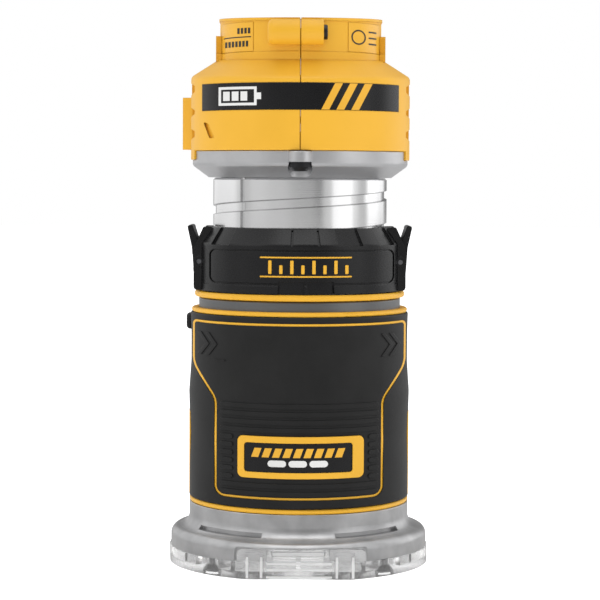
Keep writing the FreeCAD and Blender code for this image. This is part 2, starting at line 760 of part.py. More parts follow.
def make_bearing_inner_races():
    races = []
    for bearing in BEARINGS:
        bore, _, bottom, top = bearing
        pitch, ball = race_split(bearing)
        race = tube(bore, pitch - ball * 0.72, bottom, top)
        torus = Part.makeTorus(pitch, ball + 0.03, vec(0, 0, (bottom + top) / 2), Z_AXIS)
        races.append(race.cut(torus))
    return races


def make_bearing_balls():
    balls = []
    for bearing in BEARINGS:
        _, _, bottom, top = bearing
        pitch, ball = race_split(bearing)
        for step in range(BALL_COUNT):
            balls.append(Part.makeSphere(ball, polar(pitch, step * 360 / BALL_COUNT, (bottom + top) / 2)))
    return balls


TEETH = 6
TOOTH_HALF = 3.0


def make_stator_core():
    bottom, top = STATOR_Z
    yoke = tube(27.0, SLEEVE_BORE_R - SNUG, bottom, top)
    teeth = []
    for step in range(TEETH):
        tooth = block((15.0, 27.5), (-TOOTH_HALF, TOOTH_HALF), (bottom, top))
        shoe = sector(14.2, 16.4, bottom, top, 0, 24.0)
        teeth += [spun(tooth, step * 60), spun(shoe, step * 60)]
    return joined(yoke, *teeth).cut(disc(14.2, 60, 130))


def make_stator_windings():
    """One closed coil on each tooth, with rounded end turns above and below the core."""
    bottom, top = STATOR_Z
    coils = []
    for step in range(TEETH):
        half = TOOTH_HALF + 2.8
        outer = block((17.2, 26.2), (-half, half), (bottom - 4.6, top + 4.6))
        inner = block((16.0, 28.0), (-TOOTH_HALF - 0.2, TOOTH_HALF + 0.2), (bottom - 0.4, top + 0.4))
        coil = outer.cut(inner)
        coils.append(spun(coil, step * 60))
    return coils


LEAD_ANGLES = (-10.0, 110.0, 230.0)
LEAD_R = 30.1


def make_motor_leads():
    leads = []
    for angle in LEAD_ANGLES:
        foot = polar(LEAD_R, angle, STATOR_Z[1] + 0.4)
        head = polar(LEAD_R, angle, 189.6)
        leads.append(rod(0.9, foot, head))
    return leads


FLANGE_SCREW_ANGLES = (FRONT, 66.0, 114.0)
FLANGE_SCREW_R = 40.4
FLANGE_SCREW_TOP = 170.0


def make_end_bell():
    """Cast upper end bell; its flange shows as the grey step under the head."""
    body = turned([
        (SLEEVE_BORE_R - 0.1, 147.5),
        (SLEEVE_BORE_R - 0.1, 152.6),
        (36.3, 152.6, 0.4),
        (FLANGE_OUTER_R, 157.3, 1.8),
        (FLANGE_OUTER_R, FLANGE_TOP, 0.3),
        (38.6, FLANGE_TOP),
        (38.6, 159.6),
        (30.5, 154.6),
        (6.0, 154.6),
        (6.0, 152.0),
        (UPPER_BEARING[1], 152.0),
        (UPPER_BEARING[1], 144.8),
        (14.0, 144.8),
        (14.0, 152.4),
        (28.8, 152.4),
        (28.8, 147.5),
    ])
    boss = disc(5.0, 158.5, 162.6, FLANGE_SCREW_R, 0)
    bosses = [spun(boss, angle) for angle in FLANGE_SCREW_ANGLES]
    button_boss = block((-6.2, 6.2), (28.5, 44.2), (154.2, FLANGE_TOP))
    body = joined(body, button_boss, *bosses)
    cuts = []
    for angle in FLANGE_SCREW_ANGLES:
        place = polar(FLANGE_SCREW_R, angle)
        cuts.append(disc(4.7, 150, 158.5, place.x, place.y))
        cuts.append(disc(1.6, 150, 170, place.x, place.y))
    for angle in LEAD_ANGLES:
        place = polar(LEAD_R, angle)
        cuts.append(disc(1.2, 146, 170, place.x, place.y))
    vent = sector(17.0, 27.5, 151, 156, 0, 20.0)
    cuts += [spun(vent, 30 + 60 * step) for step in range(6)]
    skirt_seat = sector(SKIRT_INNER_R - 0.1, 50, 159.4, 170, 0, SKIRT_HALF_ANGLE + 0.4)
    cuts += [skirt_seat, spun(skirt_seat, 180)]
    cuts.append(rod(3.6, vec(0, LOCK_SEAT_Y, LOCK_Z), vec(0, 60, LOCK_Z)))
    cuts.append(rod(1.6, vec(0, 20.0, LOCK_Z), vec(0, 60, LOCK_Z)))
    return without(body, *cuts)


def make_flange_screws():
    screws = []
    for angle in FLANGE_SCREW_ANGLES:
        place = polar(FLANGE_SCREW_R, angle)
        head = turned([(0, 155.0), (2.6, 155.0), (4.3, 156.6), (4.4, 158.4), (1.5, 158.4),
                       (1.5, FLANGE_SCREW_TOP), (0, FLANGE_SCREW_TOP)])
        head.translate(place)
        screws.append(head.cut(hex_socket(place, 3.0, 154, 157)))
    return screws


# ---------------------------------------------------------------- head
SHOULDER_TOP = (33.0, 198.9)  # radius and height of the cone's upper edge
SHOULDER_FOOT = (56.0, 184.3)
COLLAR_RIM = 1.1              # height of the small lip round the collar's top
BAND_HALF_ANGLE = 61.4
BAND_Z = (178.2, 188.5)
BOSS_Y = -33.5
BOSS_Z = 208.0
BOSS_R = 4.95
BOSS_X = (-12.6, 8.8)
REAR_SCREWS = (176.5, 186.5)
REAR_SCREW_Y = 35.6


def collar_plan(radius, bottom, top):
    """U-shaped plan: round in front, straight sides that run back past the axis."""
    sides = block((-radius, radius), (0, COLLAR_SIDE_REAR_Y - COLLAR_CORNER), (bottom, top))
    back = block((COLLAR_CORNER - radius, radius - COLLAR_CORNER), (0, COLLAR_SIDE_REAR_Y), (bottom, top))
    corner_x = radius - COLLAR_CORNER
    corner_y = COLLAR_SIDE_REAR_Y - COLLAR_CORNER
    corners = [disc(COLLAR_CORNER, bottom, top, x, corner_y) for x in (-corner_x, corner_x)]
    return joined(disc(radius, bottom, top), sides, back, *corners)


def tilted_top(offset):
    """Everything below the collar's rim plane moved by offset."""
    slab = block((-80, 80), (-80, 80), (COLLAR_TOP - 40, COLLAR_TOP + offset))
    slab.rotate(vec(0, 0, COLLAR_TOP), vec(1, 0, 0), COLLAR_TILT)
    flat = block((-80, 80), (-80, 80), (COLLAR_TOP - 60, COLLAR_TOP + offset))
    return slab.common(flat)


def switch_block(radial, half, z_range):
    """Box that faces the power switch's direction."""
    return facing(block(radial, (-half, half), z_range), SWITCH_ANGLE)


def head_solid(inset=0.0):
    """Outside of the head, with its main faces moved in by inset."""
    drum_r = HEAD_R - inset
    drum = turned([(0, HEAD_BOTTOM), (drum_r, HEAD_BOTTOM, 0.5), (drum_r, 205.0), (0, 205.0)])
    cone = turned([(0, 140), (SHOULDER_FOOT[0], 140), SHOULDER_FOOT, SHOULDER_TOP, (0, SHOULDER_TOP[1])])
    cone.rotate(vec(0, 0, SHOULDER_TOP[1]), vec(1, 0, 0), COLLAR_TILT)
    cone.translate(vec(0, 0, -inset))
    body = drum.common(cone)
    crease = [edge for edge in body.Edges if 185 < edge.CenterOfMass.z < 195 and edge.Length > 40]
    body = body.makeFillet(CREASE_RADIUS, crease)
    collar = collar_plan(COLLAR_R - 0.4 - inset, 188.0, COLLAR_TOP + 3).common(tilted_top(-inset))
    foot = collar_plan(COLLAR_R - 0.1 - inset, 190.0, 200.9)
    rim = collar_plan(COLLAR_R - inset, 205.0, COLLAR_TOP + 3)
    rim = rim.common(tilted_top(-inset)).cut(tilted_top(-COLLAR_RIM))
    skirt = sector(SKIRT_INNER_R, HEAD_R, 159.6, HEAD_BOTTOM + 1, 0, SKIRT_HALF_ANGLE)
    lug = block((31.0, 33.3), (-9.0, 9.0), (198.0, 208.0))
    boss = rod(BOSS_R - inset, vec(BOSS_X[0], BOSS_Y, BOSS_Z), vec(BOSS_X[1], BOSS_Y, BOSS_Z))
    closed_end = [edge for edge in boss.Edges if abs(edge.CenterOfMass.x - BOSS_X[0]) < 0.01]
    boss = boss.makeFillet(2.2, closed_end)
    boss_web = block((BOSS_X[0] + 2.2, BOSS_X[1]), (BOSS_Y, -28.0), (BOSS_Z - 3.4, BOSS_Z + BOSS_R - 0.6))
    body = joined(body, collar, foot, rim, skirt, spun(skirt, 180), lug, mirrored_x(lug), boss, boss_web)
    return body


def head_hollow():
    inner_r = HEAD_R - HEAD_WALL
    hollow = turned([
        (0, 150.0),
        (inner_r, 150.0),
        (inner_r, 187.2, 2.0),
        (30.5, 194.6, 2.0),
        (0, 194.6),
    ])
    bosses = [disc(4.2, HEAD_BOTTOM, FLANGE_SCREW_TOP + 1.5, *polar(FLANGE_SCREW_R - 0.6, angle)[:2])
              for angle in FLANGE_SCREW_ANGLES]
    for z in REAR_SCREWS:
        bosses.append(rod(3.8, vec(-11, REAR_SCREW_Y, z), vec(9, REAR_SCREW_Y, z)))
        bosses.append(block((-11, 9), (REAR_SCREW_Y + 2, 44), (z - 1.2, z + 1.2)))
    return without(hollow, *bosses)


VENTS = ((185.9, 188.4), (177.3, 178.9), (168.4, 170.6))   # bottom and top of each notch's floor
VENT_FLOOR_X = 41.4
VENT_FLARE = 0.75             # how much wider a notch is at its mouth than at its floor, each way
VENT_FRONT_Y = -13.0
VENT_REAR_Y = 3.0


def head_vents():
    """Three flared notches in each side of the head, leaving round-nosed ribs, with air slots."""
    cuts = []
    for bottom, top in VENTS:
        flare = [
            (VENT_FLOOR_X, bottom, 0.5),
            (VENT_FLOOR_X, top, 0.5),
            (HEAD_R - 0.7, top + VENT_FLARE, 1.2),
            (HEAD_R + 4.0, top + 6 * VENT_FLARE),
            (HEAD_R + 4.0, bottom - 6 * VENT_FLARE),
            (HEAD_R - 0.7, bottom - VENT_FLARE, 1.2),
        ]
        notch = Part.Face(rounded_wire(flare)).extrude(vec(0, VENT_REAR_Y - VENT_FRONT_Y, 0))
        notch.translate(vec(0, VENT_FRONT_Y, 0))
        slot = block((38.0, 50), (-9.0, 0.5), (bottom + 0.3, top - 0.3))
        for cutter in (notch, slot):
            cuts.append(cutter)
            cuts.append(mirrored_x(cutter))
    return cuts


def head_cuts():
    cuts = [head_hollow()]
    front = disc(RECEPTACLE_HALF + 0.6, RECEPTACLE_FLOOR, 230)
    front = front.common(block((-40, 40), (-60, 0), (100, 240)))
    rear = block((-RECEPTACLE_HALF, RECEPTACLE_HALF), (-1, 60), (RECEPTACLE_FLOOR, 230))
    cavity = front.fuse(rear)
    for side in (-1, 1):
        x0, x1 = sorted((side * RAIL_INNER, side * 40))
        cavity = cavity.cut(block((x0, x1), (-14, 60), (208.6, 211.6)))
    cuts.append(cavity)
    cuts.append(tube(HEAD_R - 0.8, 50, *BAND_Z).common(
        sector(0.1, 60, BAND_Z[0], BAND_Z[1], FRONT, BAND_HALF_ANGLE)))
    cuts += head_vents()
    cuts.append(switch_block((38.0, 60.0), 9.2, (SWITCH_Z - 8.8, SWITCH_Z + 8.8)))
    dial_slot = block((38.0, 60.0), (-8.6, 8.6), (DIAL_Z[0] - 0.4, DIAL_Z[1] + 0.4))
    cuts.append(facing(dial_slot, DIAL_ANGLE))
    for angle in FLANGE_SCREW_ANGLES:
        place = polar(FLANGE_SCREW_R, angle)
        cuts.append(disc(1.5 + SNUG, 150, FLANGE_SCREW_TOP + 0.1, place.x, place.y))
    cuts.append(rod(1.5 + SNUG, vec(-6.1, BOSS_Y, BOSS_Z), vec(20, BOSS_Y, BOSS_Z)))
    cuts.append(rod(3.25, vec(BOSS_X[1], BOSS_Y, BOSS_Z), vec(14, BOSS_Y, BOSS_Z)))
    for z in REAR_SCREWS:
        cuts.append(rod(1.5 + SNUG, vec(-6.1, REAR_SCREW_Y, z), vec(20, REAR_SCREW_Y, z)))
        cuts.append(rod(3.3, vec(9.0, REAR_SCREW_Y, z), vec(60, REAR_SCREW_Y, z)))
    cuts.append(tube(COLLAR_R - 0.55, 40, *LABEL_Z).common(label_sectors(0.3)))
    recess = rounded_wire([(-37.7, 174.3, 0.4), (-35.4, 173.0, 0.4), (-33.1, 167.8, 0.4), (-35.0, 167.6, 0.4)])
    cuts.append(front_slab(recess).common(tube(HEAD_R - 1.0, 50, 160, 190)))
    for x in (-10.0, -5.0, 0.0, 5.0, 10.0):
        cuts.append(block((x - 1.1, x + 1.1), (8, 20), (190, 205)))
    return cuts


LABEL_Z = (201.1, 212.4)
LABEL_MIDDLE = 55.0
LABEL_HALF = 20.0


def label_sectors(grow):
    plates = [sector(0.1, 60, LABEL_Z[0], LABEL_Z[1], FRONT + side * LABEL_MIDDLE, LABEL_HALF + grow)
              for side in (-1, 1)]
    return Part.makeCompound(plates)


def make_head_shells():
    """Left and right halves; a narrow groove follows the line where they meet."""
    groove_half = 0.2
    groove_depth = 0.5
    parting = 0.04
    groove = block((-groove_half, groove_half), (-60, 60), (150, 230)).cut(head_solid(groove_depth))
    whole = without(head_solid(), groove, *head_cuts())
    left = whole.common(block((-80, -parting), (-80, 80), (100, 240)))
    right = whole.common(block((parting, 80), (-80, 80), (100, 240)))
    return left, right


def make_head_band():
    plate = tube(HEAD_R - 0.75, HEAD_R + 0.12, BAND_Z[0] + SNUG, BAND_Z[1] - SNUG)
    return plate.common(sector(0.1, 60, 170, 195, FRONT, BAND_HALF_ANGLE - 0.1))


def make_label_plates():
    plates = tube(COLLAR_R - 0.5, COLLAR_R - 0.28, LABEL_Z[0] + SNUG, LABEL_Z[1] - SNUG)
    return plates.common(label_sectors(0.0))


def shell_screw(start_x, y, z, proud):
    """Cheese-head screw along X that pulls the two head shells together."""
    shank = rod(1.5, vec(-6.0, y, z), vec(start_x, y, z))
    head = rod(2.85, vec(start_x, y, z), vec(start_x + proud, y, z))
    outer_end = [edge for edge in head.Edges if abs(edge.CenterOfMass.x - start_x - proud) < 0.01]
    head = head.makeFillet(0.5, outer_end)
    socket = hex_socket(ORIGIN, 2.6, 0, 1.2)
    socket.rotate(ORIGIN, vec(0, 1, 0), 90)
    socket.translate(vec(start_x + proud - 1.1, y, z))
    return joined(shank, head).cut(socket)


def make_shell_screws():
    screws = [shell_screw(BOSS_X[1], BOSS_Y, BOSS_Z, 1.5)]
    for z in REAR_SCREWS:
        screws.append(shell_screw(9.0, REAR_SCREW_Y, z, 2.4))
    return screws


BLADE_XS = (-9.0, -4.5, 0.0, 4.5, 9.0)


def make_terminal_block():
    body = block((-13.0, 13.0), (-22.0, -6.0), (RECEPTACLE_FLOOR, 209.0))
    foot = block((-13.0, 13.0), (-6.0, 4.0), (RECEPTACLE_FLOOR, 201.6))
    slots = [block((x - 0.45, x + 0.45), (-16.0, 2.5), (RECEPTACLE_FLOOR + 0.8, 207.6)) for x in BLADE_XS]
    return without(joined(body, foot), *slots)


def make_terminal_blades():
    return [block((x - 0.4, x + 0.4), (-15.9, 2.4), (RECEPTACLE_FLOOR + 0.85, 207.5)) for x in BLADE_XS]


def make_control_board():
    board = disc(29.0, 190.0, 191.6)
    board = without(board, block((-12.5, 12.5), (7.0, 21.0), (189, 193)))
    capacitor = rod(3.4, vec(-8, -12, 187.0), vec(8, -12, 187.0)).common(
        block((-20, 20), (-30, 30), (150, 190.0)))
    chips = [block((x - 3, x + 3), (-3, 2), (191.6, 193.2)) for x in (-18, -9, 0, 9, 18)]
    return joined(board, capacitor, *chips)


def make_switch_module():
    body = switch_block((29.6, 39.6), 6.6, (SWITCH_Z - 6.0, SWITCH_Z + 6.0))
    return body


def make_switch_bezel():
    base = switch_block((HEAD_R - 3.6, 46.0), 13.0, (163.6, 184.4))
    base = base.cut(disc(HEAD_R + 0.15, 150, 200))
    window = switch_block((30, 60), 8.4, (SWITCH_Z - 8.0, SWITCH_Z + 8.0))
    return base.cut(window)


def make_power_rocker():
    profile = [(-2.2, -7.0), (1.6, -7.2), (2.9, -6.6), (1.5, 0.0), (2.9, 6.6), (1.6, 7.2), (-2.2, 7.0)]
    points = [vec(SWITCH_PIVOT_R + radial, -7.8, SWITCH_Z + z) for radial, z in profile]
    body = Part.Face(Part.makePolygon(points + points[:1])).extrude(vec(0, 15.6, 0))
    body.rotate(vec(SWITCH_PIVOT_R, 0, SWITCH_Z), vec(0, 1, 0), ROCKER_OFF_TILT)
    return facing(body, SWITCH_ANGLE)


def make_speed_dial():
    wheel = disc(DIAL_R, DIAL_Z[0], DIAL_Z[1], DIAL_CENTRE_R, 0)
    grooves = []
    for step in range(24):
        angle = math.radians(15 * step)
        x = DIAL_CENTRE_R + (DIAL_R + 0.25) * math.cos(angle)
        y = (DIAL_R + 0.25) * math.sin(angle)
        grooves.append(disc(0.7, DIAL_Z[0] - 1, DIAL_Z[1] + 1, x, y))
    bore = disc(DIAL_SHAFT_R + 0.06, DIAL_Z[0] - 1, DIAL_Z[1] + 1, DIAL_CENTRE_R, 0)
    return facing(without(wheel, bore, *grooves), DIAL_ANGLE)


def make_dial_potentiometer():
    body = block((DIAL_CENTRE_R - 6.5, DIAL_CENTRE_R + 3.2), (-5, 5), (167.5, DIAL_Z[0] - 0.5))
    shaft = disc(DIAL_SHAFT_R, DIAL_Z[0] - 1, DIAL_Z[1] + 0.8, DIAL_CENTRE_R, 0)
    return facing(joined(body, shaft), DIAL_ANGLE)


def make_spindle_lock_button():
    cap = rod(3.3, vec(0, 38.0, LOCK_Z), vec(0, 46.4, LOCK_Z))
    cap = cap.makeChamfer(0.6, [edge for edge in cap.Edges if abs(edge.CenterOfMass.y - 46.4) < 0.01])
    stem = rod(1.5, vec(0, 13.5, LOCK_Z), vec(0, 38.5, LOCK_Z))
    return joined(cap, stem)


def make_lock_spring():
    wire_r = 0.38
    coil_r = 2.4
    helix = Part.makeHelix(1.9, 6.4, coil_r)
    section = Part.Wire(Part.makeCircle(wire_r, vec(coil_r, 0, 0), vec(0, 1, 0)))
    coil = Part.Wire(helix).makePipeShell([section], True, True)
    coil.rotate(ORIGIN, vec(1, 0, 0), -90)
    coil.translate(vec(0, LOCK_SEAT_Y + wire_r + SNUG, LOCK_Z))
    return coil


# ---------------------------------------------------------------- spindle
def make_spindle_shaft():
    nose_bottom = 27.5
    return turned([
        (5.4, nose_bottom),
        (6.6, nose_bottom),
        (NOSE_R, nose_bottom + 1),
        (NOSE_R, 48.0),
        (6.6, 49.0),
        (6.6, 51.3),
        (SHAFT_R, 51.3),
        (SHAFT_R, 143.0),
        (SHAFT_UPPER_R, 144.5),
        (SHAFT_UPPER_R, 161.4),
        (0, 161.4),
        (0, 45.0),
        (3.3, 45.0),
    ])


def make_collet():
    body = turned([
        (COLLET_BORE_R, COLLET_BOTTOM),
        (4.6, COLLET_BOTTOM),
        (5.3, 25.6),
        (5.3, 27.3),
        (3.45, 42.5),
        (COLLET_BORE_R, 42.5),
    ])
    slits = [block((0, 8), (-0.3, 0.3), (COLLET_BOTTOM - 1, 38.0)) for _ in range(4)]
    return without(body, *[spun(slit, 45 + 90 * step) for step, slit in enumerate(slits)])


def make_collet_nut():
    bottom, top = NUT_Z
    across = 17.0
    body = hex_socket(ORIGIN, across, bottom, top)
    body = body.common(turned([
        (0, bottom), (8.4, bottom), (9.7, bottom + 1.6), (9.7, top - 1.2), (8.6, top), (0, top)]))
    bore = turned([
        (0, bottom - 1), (5.45, bottom - 1), (5.45, 27.4), (NOSE_R + SNUG, 27.4),
        (NOSE_R + SNUG, top + 1), (0, top + 1)])
    groove = tube(7.9, 12.0, 38.0, 39.6)
    return without(body, bore, groove)


def make_rotor_core():
    bottom, top = STATOR_Z
    return tube(SHAFT_R, 11.5, bottom, top)


def make_rotor_magnets():
    bottom, top = STATOR_Z
    return [sector(11.55, 13.5, bottom + 1, top - 1, 90 * step, 38.0) for step in range(4)]


def make_cooling_fan():
    bottom, top = FAN_Z
    hub = tube(SHAFT_R, 9.0, bottom, top)
    plate = tube(8.5, 28.0, bottom, bottom + 1.6)
    blades = []
    for step in range(11):
        blade = block((8.5, 27.6), (-0.7, 0.7), (bottom + 1, top - 1))
        blade.rotate(vec(18, 0, 0), Z_AXIS, 18.0)
        blades.append(spun(blade, step * 360 / 11))
    fan = joined(hub, plate, *blades)
    return fan.common(disc(28.0, bottom, top)).cut(disc(SHAFT_R, bottom - 1, top + 1))


def make_lock_disc():
    body = tube(SHAFT_UPPER_R, 12.0, *LOCK_DISC_Z)
    notch = block((8.2, 14), (-1.9, 1.9), (LOCK_DISC_Z[0] - 1, LOCK_DISC_Z[1] + 1))
    return without(body, *[spun(notch, 90 * step) for step in range(4)])


# ---------------------------------------------------------------- all the nodes
def as_list(shapes):
    return shapes if isinstance(shapes, (list, tuple)) else [shapes]


def main():
    os.makedirs("parts", exist_ok=True)
    head_left, head_right = make_head_shells()
    tab_right = make_release_tab()
    nodes = {
        "base_casting": make_base_casting(),
        "subbase": make_subbase(),
        "subbase_screws": make_subbase_screws(),
        "alignment_key": make_alignment_key(),
        "grip_core": make_grip_core(),
        "grip_overmould": make_grip_overmould(),
        "grip_front_panel": make_grip_front_panel(),
        "badge_frame": make_badge_frame(),
        "badge_plate": make_badge_plate(),
        "side_inserts": [side_insert(), spun(side_insert(), 180)],
        "clamp_bolt": make_clamp_bolt(),
        "clamp_nut": make_clamp_nut(),
        "clamp_washer": make_clamp_washer(),
        "lever_pin": make_lever_pin(),
        "locking_lever": make_locking_lever(),
        "depth_ring": make_depth_ring(),
        "ring_thread": make_ring_thread(),
        "ring_badge": make_ring_badge(),
        "tab_pins": make_tab_pins(),
        "tab_springs": make_tab_springs(),
        "scale_ring": make_scale_ring(),
        "release_tab_right": tab_right,
        "release_tab_left": spun(tab_right, 180),
        "motor_sleeve": make_motor_sleeve(),
        "nose_bell": make_nose_bell(),
        "led_lenses": make_led_lenses(),
        "led_board": make_led_board(),
        "bearing_outer_races": make_bearing_outer_races(),
        "stator_core": make_stator_core(),
        "stator_windings": make_stator_windings(),
        "motor_leads": make_motor_leads(),
        "end_bell": make_end_bell(),
        "flange_screws": make_flange_screws(),
        "head_shell_left": head_left,
        "head_shell_right": head_right,
        "head_band": make_head_band(),
        "shell_screws": make_shell_screws(),
        "label_plates": make_label_plates(),
        "terminal_block": make_terminal_block(),
        "terminal_blades": make_terminal_blades(),
        "control_board": make_control_board(),
        "switch_module": make_switch_module(),
        "switch_bezel": make_switch_bezel(),
        "dial_potentiometer": make_dial_potentiometer(),
        "power_rocker": make_power_rocker(),
        "speed_dial": make_speed_dial(),
        "spindle_lock_button": make_spindle_lock_button(),
        "lock_spring": make_lock_spring(),
        "spindle_shaft": make_spindle_shaft(),
        "bearing_inner_races": make_bearing_inner_races(),
        "bearing_balls": make_bearing_balls(),
        "rotor_core": make_rotor_core(),
        "rotor_magnets": make_rotor_magnets(),
        "cooling_fan": make_cooling_fan(),
        "lock_disc": make_lock_disc(),
        "collet": make_collet(),
        "collet_nut": make_collet_nut(),
    }
    for name, shapes in nodes.items():
        save(name, *as_list(shapes))
        solids = [solid for shape in as_list(shapes) for solid in shape.Solids]
        valid = all(solid.isValid() for solid in solids)
        print(name, len(solids), "valid" if valid else "INVALID", round(sum(s.Volume for s in solids), 1))


main()
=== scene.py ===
import json
import math

import bmesh
import bpy
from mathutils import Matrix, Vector


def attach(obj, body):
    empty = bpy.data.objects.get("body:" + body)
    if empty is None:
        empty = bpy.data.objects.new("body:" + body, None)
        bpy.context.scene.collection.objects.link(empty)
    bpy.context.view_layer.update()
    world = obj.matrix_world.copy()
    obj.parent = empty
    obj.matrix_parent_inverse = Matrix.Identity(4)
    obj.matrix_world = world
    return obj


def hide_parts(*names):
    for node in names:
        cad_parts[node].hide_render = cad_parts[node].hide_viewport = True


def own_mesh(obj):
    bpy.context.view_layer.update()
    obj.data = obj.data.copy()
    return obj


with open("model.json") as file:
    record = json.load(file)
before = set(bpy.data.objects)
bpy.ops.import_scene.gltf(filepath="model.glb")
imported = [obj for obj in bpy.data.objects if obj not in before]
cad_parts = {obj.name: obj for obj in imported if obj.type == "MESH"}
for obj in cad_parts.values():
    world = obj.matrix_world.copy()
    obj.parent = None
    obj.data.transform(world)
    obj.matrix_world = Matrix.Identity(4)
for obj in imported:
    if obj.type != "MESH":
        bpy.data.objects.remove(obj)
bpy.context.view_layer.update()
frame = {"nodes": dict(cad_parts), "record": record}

MM = 0.001


# ------------------------------------------------------------------ camera
CAMERA_DISTANCE = 0.850       # metres, from the tool's axis
CAMERA_X = 0.0002
EYE_HEIGHT = 0.1517
AIM_HEIGHT = 0.1038
LENS_MM = 127.8
SENSOR_MM = 36.0
CAMERA_ROLL = 0.28            # degrees
NEAREST, FARTHEST = 0.01, 50.0


def make_camera():
    data = bpy.data.cameras.new("camera")
    data.lens = LENS_MM
    data.sensor_width = SENSOR_MM
    data.clip_start = NEAREST
    data.clip_end = FARTHEST
    camera = bpy.data.objects.new("camera", data)
    bpy.context.scene.collection.objects.link(camera)
    eye = Vector((CAMERA_X, -CAMERA_DISTANCE, EYE_HEIGHT))
    aim = Vector((CAMERA_X, 0.0, AIM_HEIGHT))
    camera.location = eye
    camera.rotation_euler = (aim - eye).to_track_quat("-Z", "Y").to_euler()
    camera.rotation_euler.rotate_axis("Z", math.radians(CAMERA_ROLL))
    bpy.context.scene.camera = camera


# ------------------------------------------------------------------ shader node helpers
def calculate(tree, operation, *values):
    """Math node; each value is a number or another node's output."""
    node = tree.nodes.new("ShaderNodeMath")
    node.operation = operation
    for socket, value in zip(node.inputs, values):
        if isinstance(value, (int, float)):
            socket.default_value = value
        else:
            tree.links.new(value, socket)
    return node.outputs[0]


def fade(tree, value, low, high, at_low=0.0, at_high=1.0):
    """Output that goes from at_low to at_high while value goes from low to high."""
    node = tree.nodes.new("ShaderNodeMapRange")
    node.inputs["From Min"].default_value = low
    node.inputs["From Max"].default_value = high
    node.inputs["To Min"].default_value = at_low
    node.inputs["To Max"].default_value = at_high
    tree.links.new(value, node.inputs["Value"])
    return node.outputs[0]


def mix_colour(tree, share, first, second):
    """Output that goes from first, an output, to second, a colour, as share rises to 1."""
    node = tree.nodes.new("ShaderNodeMixRGB")
    node.inputs["Color2"].default_value = (*second, 1)
    tree.links.new(share, node.inputs["Fac"])
    tree.links.new(first, node.inputs["Color1"])
    return node.outputs[0]


def axes(tree, vector):
    """The X, Y and Z outputs of a vector."""
    split = tree.nodes.new("ShaderNodeSeparateXYZ")
    tree.links.new(vector, split.inputs[0])
    return split.outputs


def node_of(tree, kind):
    return next(node for node in tree.nodes if node.type == kind)


def object_axes(tree):
    return axes(tree, node_of(tree, "TEX_COORD").outputs["Object"])


# ------------------------------------------------------------------ light and floor
# Brightness of the studio walls, by direction about the vertical: degrees from the tool's
# front towards its right, and how bright the softbox or gap between softboxes is there.
STUDIO_WALLS = (
    (-180, 0.25), (-168, 0.25), (-158, 0.95), (-96, 1.04), (-88, 0.62), (-82, 0.40),
    (-74, 0.42), (-66, 0.60), (-20, 0.54), (-8, 0.38), (16, 0.28), (27, 0.04), (33, 0.60),
    (80, 0.92), (86, 0.52), (97, 0.48), (103, 1.65), (120, 1.60), (133, 1.25), (143, 1.20),
    (152, 0.25), (180, 0.25),
)
WALL_STRENGTH = 0.97
CEILING_FADE = (0.35, 0.85)   # sine of the elevation where the walls turn into a white ceiling
WHITE = (1.0, 1.0, 1.0)
FLOOR_HALF = 6.0
FLOOR_Z = -0.0002
FLOOR_PAPER = 0.60
FLOOR_GLOW = 1.0
FLOOR_GLOW_MIRRORED = 0.06    # in reflections, so that metal stays apart from a white bench
# name, azimuth and elevation in degrees, distance in metres, size in metres, power in watts
LIGHTS = (
    ("key_left", -62, 28, 1.3, (0.9, 1.1), 1.9),
    ("fill_right", 58, 18, 1.4, (0.8, 1.2), 1.5),
    ("top", 10, 78, 1.2, (1.0, 1.0), 4.4),
)
LIGHT_AIM_HEIGHT = 0.11


def make_wall_ramp(tree, direction):
    """STUDIO_WALLS as a colour ramp over direction, which is 0 at -180 and 1 at 180 degrees."""
    ramp = tree.nodes.new("ShaderNodeValToRGB")
    ramp.color_ramp.interpolation = "LINEAR"
    elements = ramp.color_ramp.elements
    while len(elements) > 1:
        elements.remove(elements[-1])
    for index, (degrees, level) in enumerate(STUDIO_WALLS):
        place = degrees / 360.0 + 0.5
        element = elements[0] if index == 0 else elements.new(place)
        element.position = place
        element.color = (level, level, level, 1.0)
    tree.links.new(direction, ramp.inputs[0])
    return ramp.outputs[0]


def make_world():
    """White to the camera; softboxes and the gaps between them to everything else."""
    world = bpy.data.worlds.new("studio")
    world.use_nodes = True
    tree = world.node_tree
    tree.nodes.clear()
    new = tree.nodes.new
    link = tree.links.new
    x, y, z = axes(tree, new("ShaderNodeTexCoord").outputs["Generated"])
    angle = calculate(tree, "ARCTAN2", x, calculate(tree, "MULTIPLY", y, -1.0))
    direction = calculate(tree, "MULTIPLY_ADD", angle, 0.5 / math.pi, 0.5)
    walls = new("ShaderNodeBackground")
    walls.inputs["Strength"].default_value = WALL_STRENGTH
    ceiling = fade(tree, z, *CEILING_FADE)
    link(mix_colour(tree, ceiling, make_wall_ramp(tree, direction), WHITE), walls.inputs["Color"])
    plain = new("ShaderNodeBackground")
    plain.inputs["Color"].default_value = (*WHITE, 1)
    path = new("ShaderNodeLightPath")
    seen = calculate(tree, "MAXIMUM", path.outputs["Is Camera Ray"],
                     path.outputs["Is Transmission Ray"])
    pick = new("ShaderNodeMixShader")
    link(seen, pick.inputs[0])
    link(walls.outputs[0], pick.inputs[1])
    link(plain.outputs[0], pick.inputs[2])
    output = new("ShaderNodeOutputWorld")
    link(pick.outputs[0], output.inputs["Surface"])
    bpy.context.scene.world = world


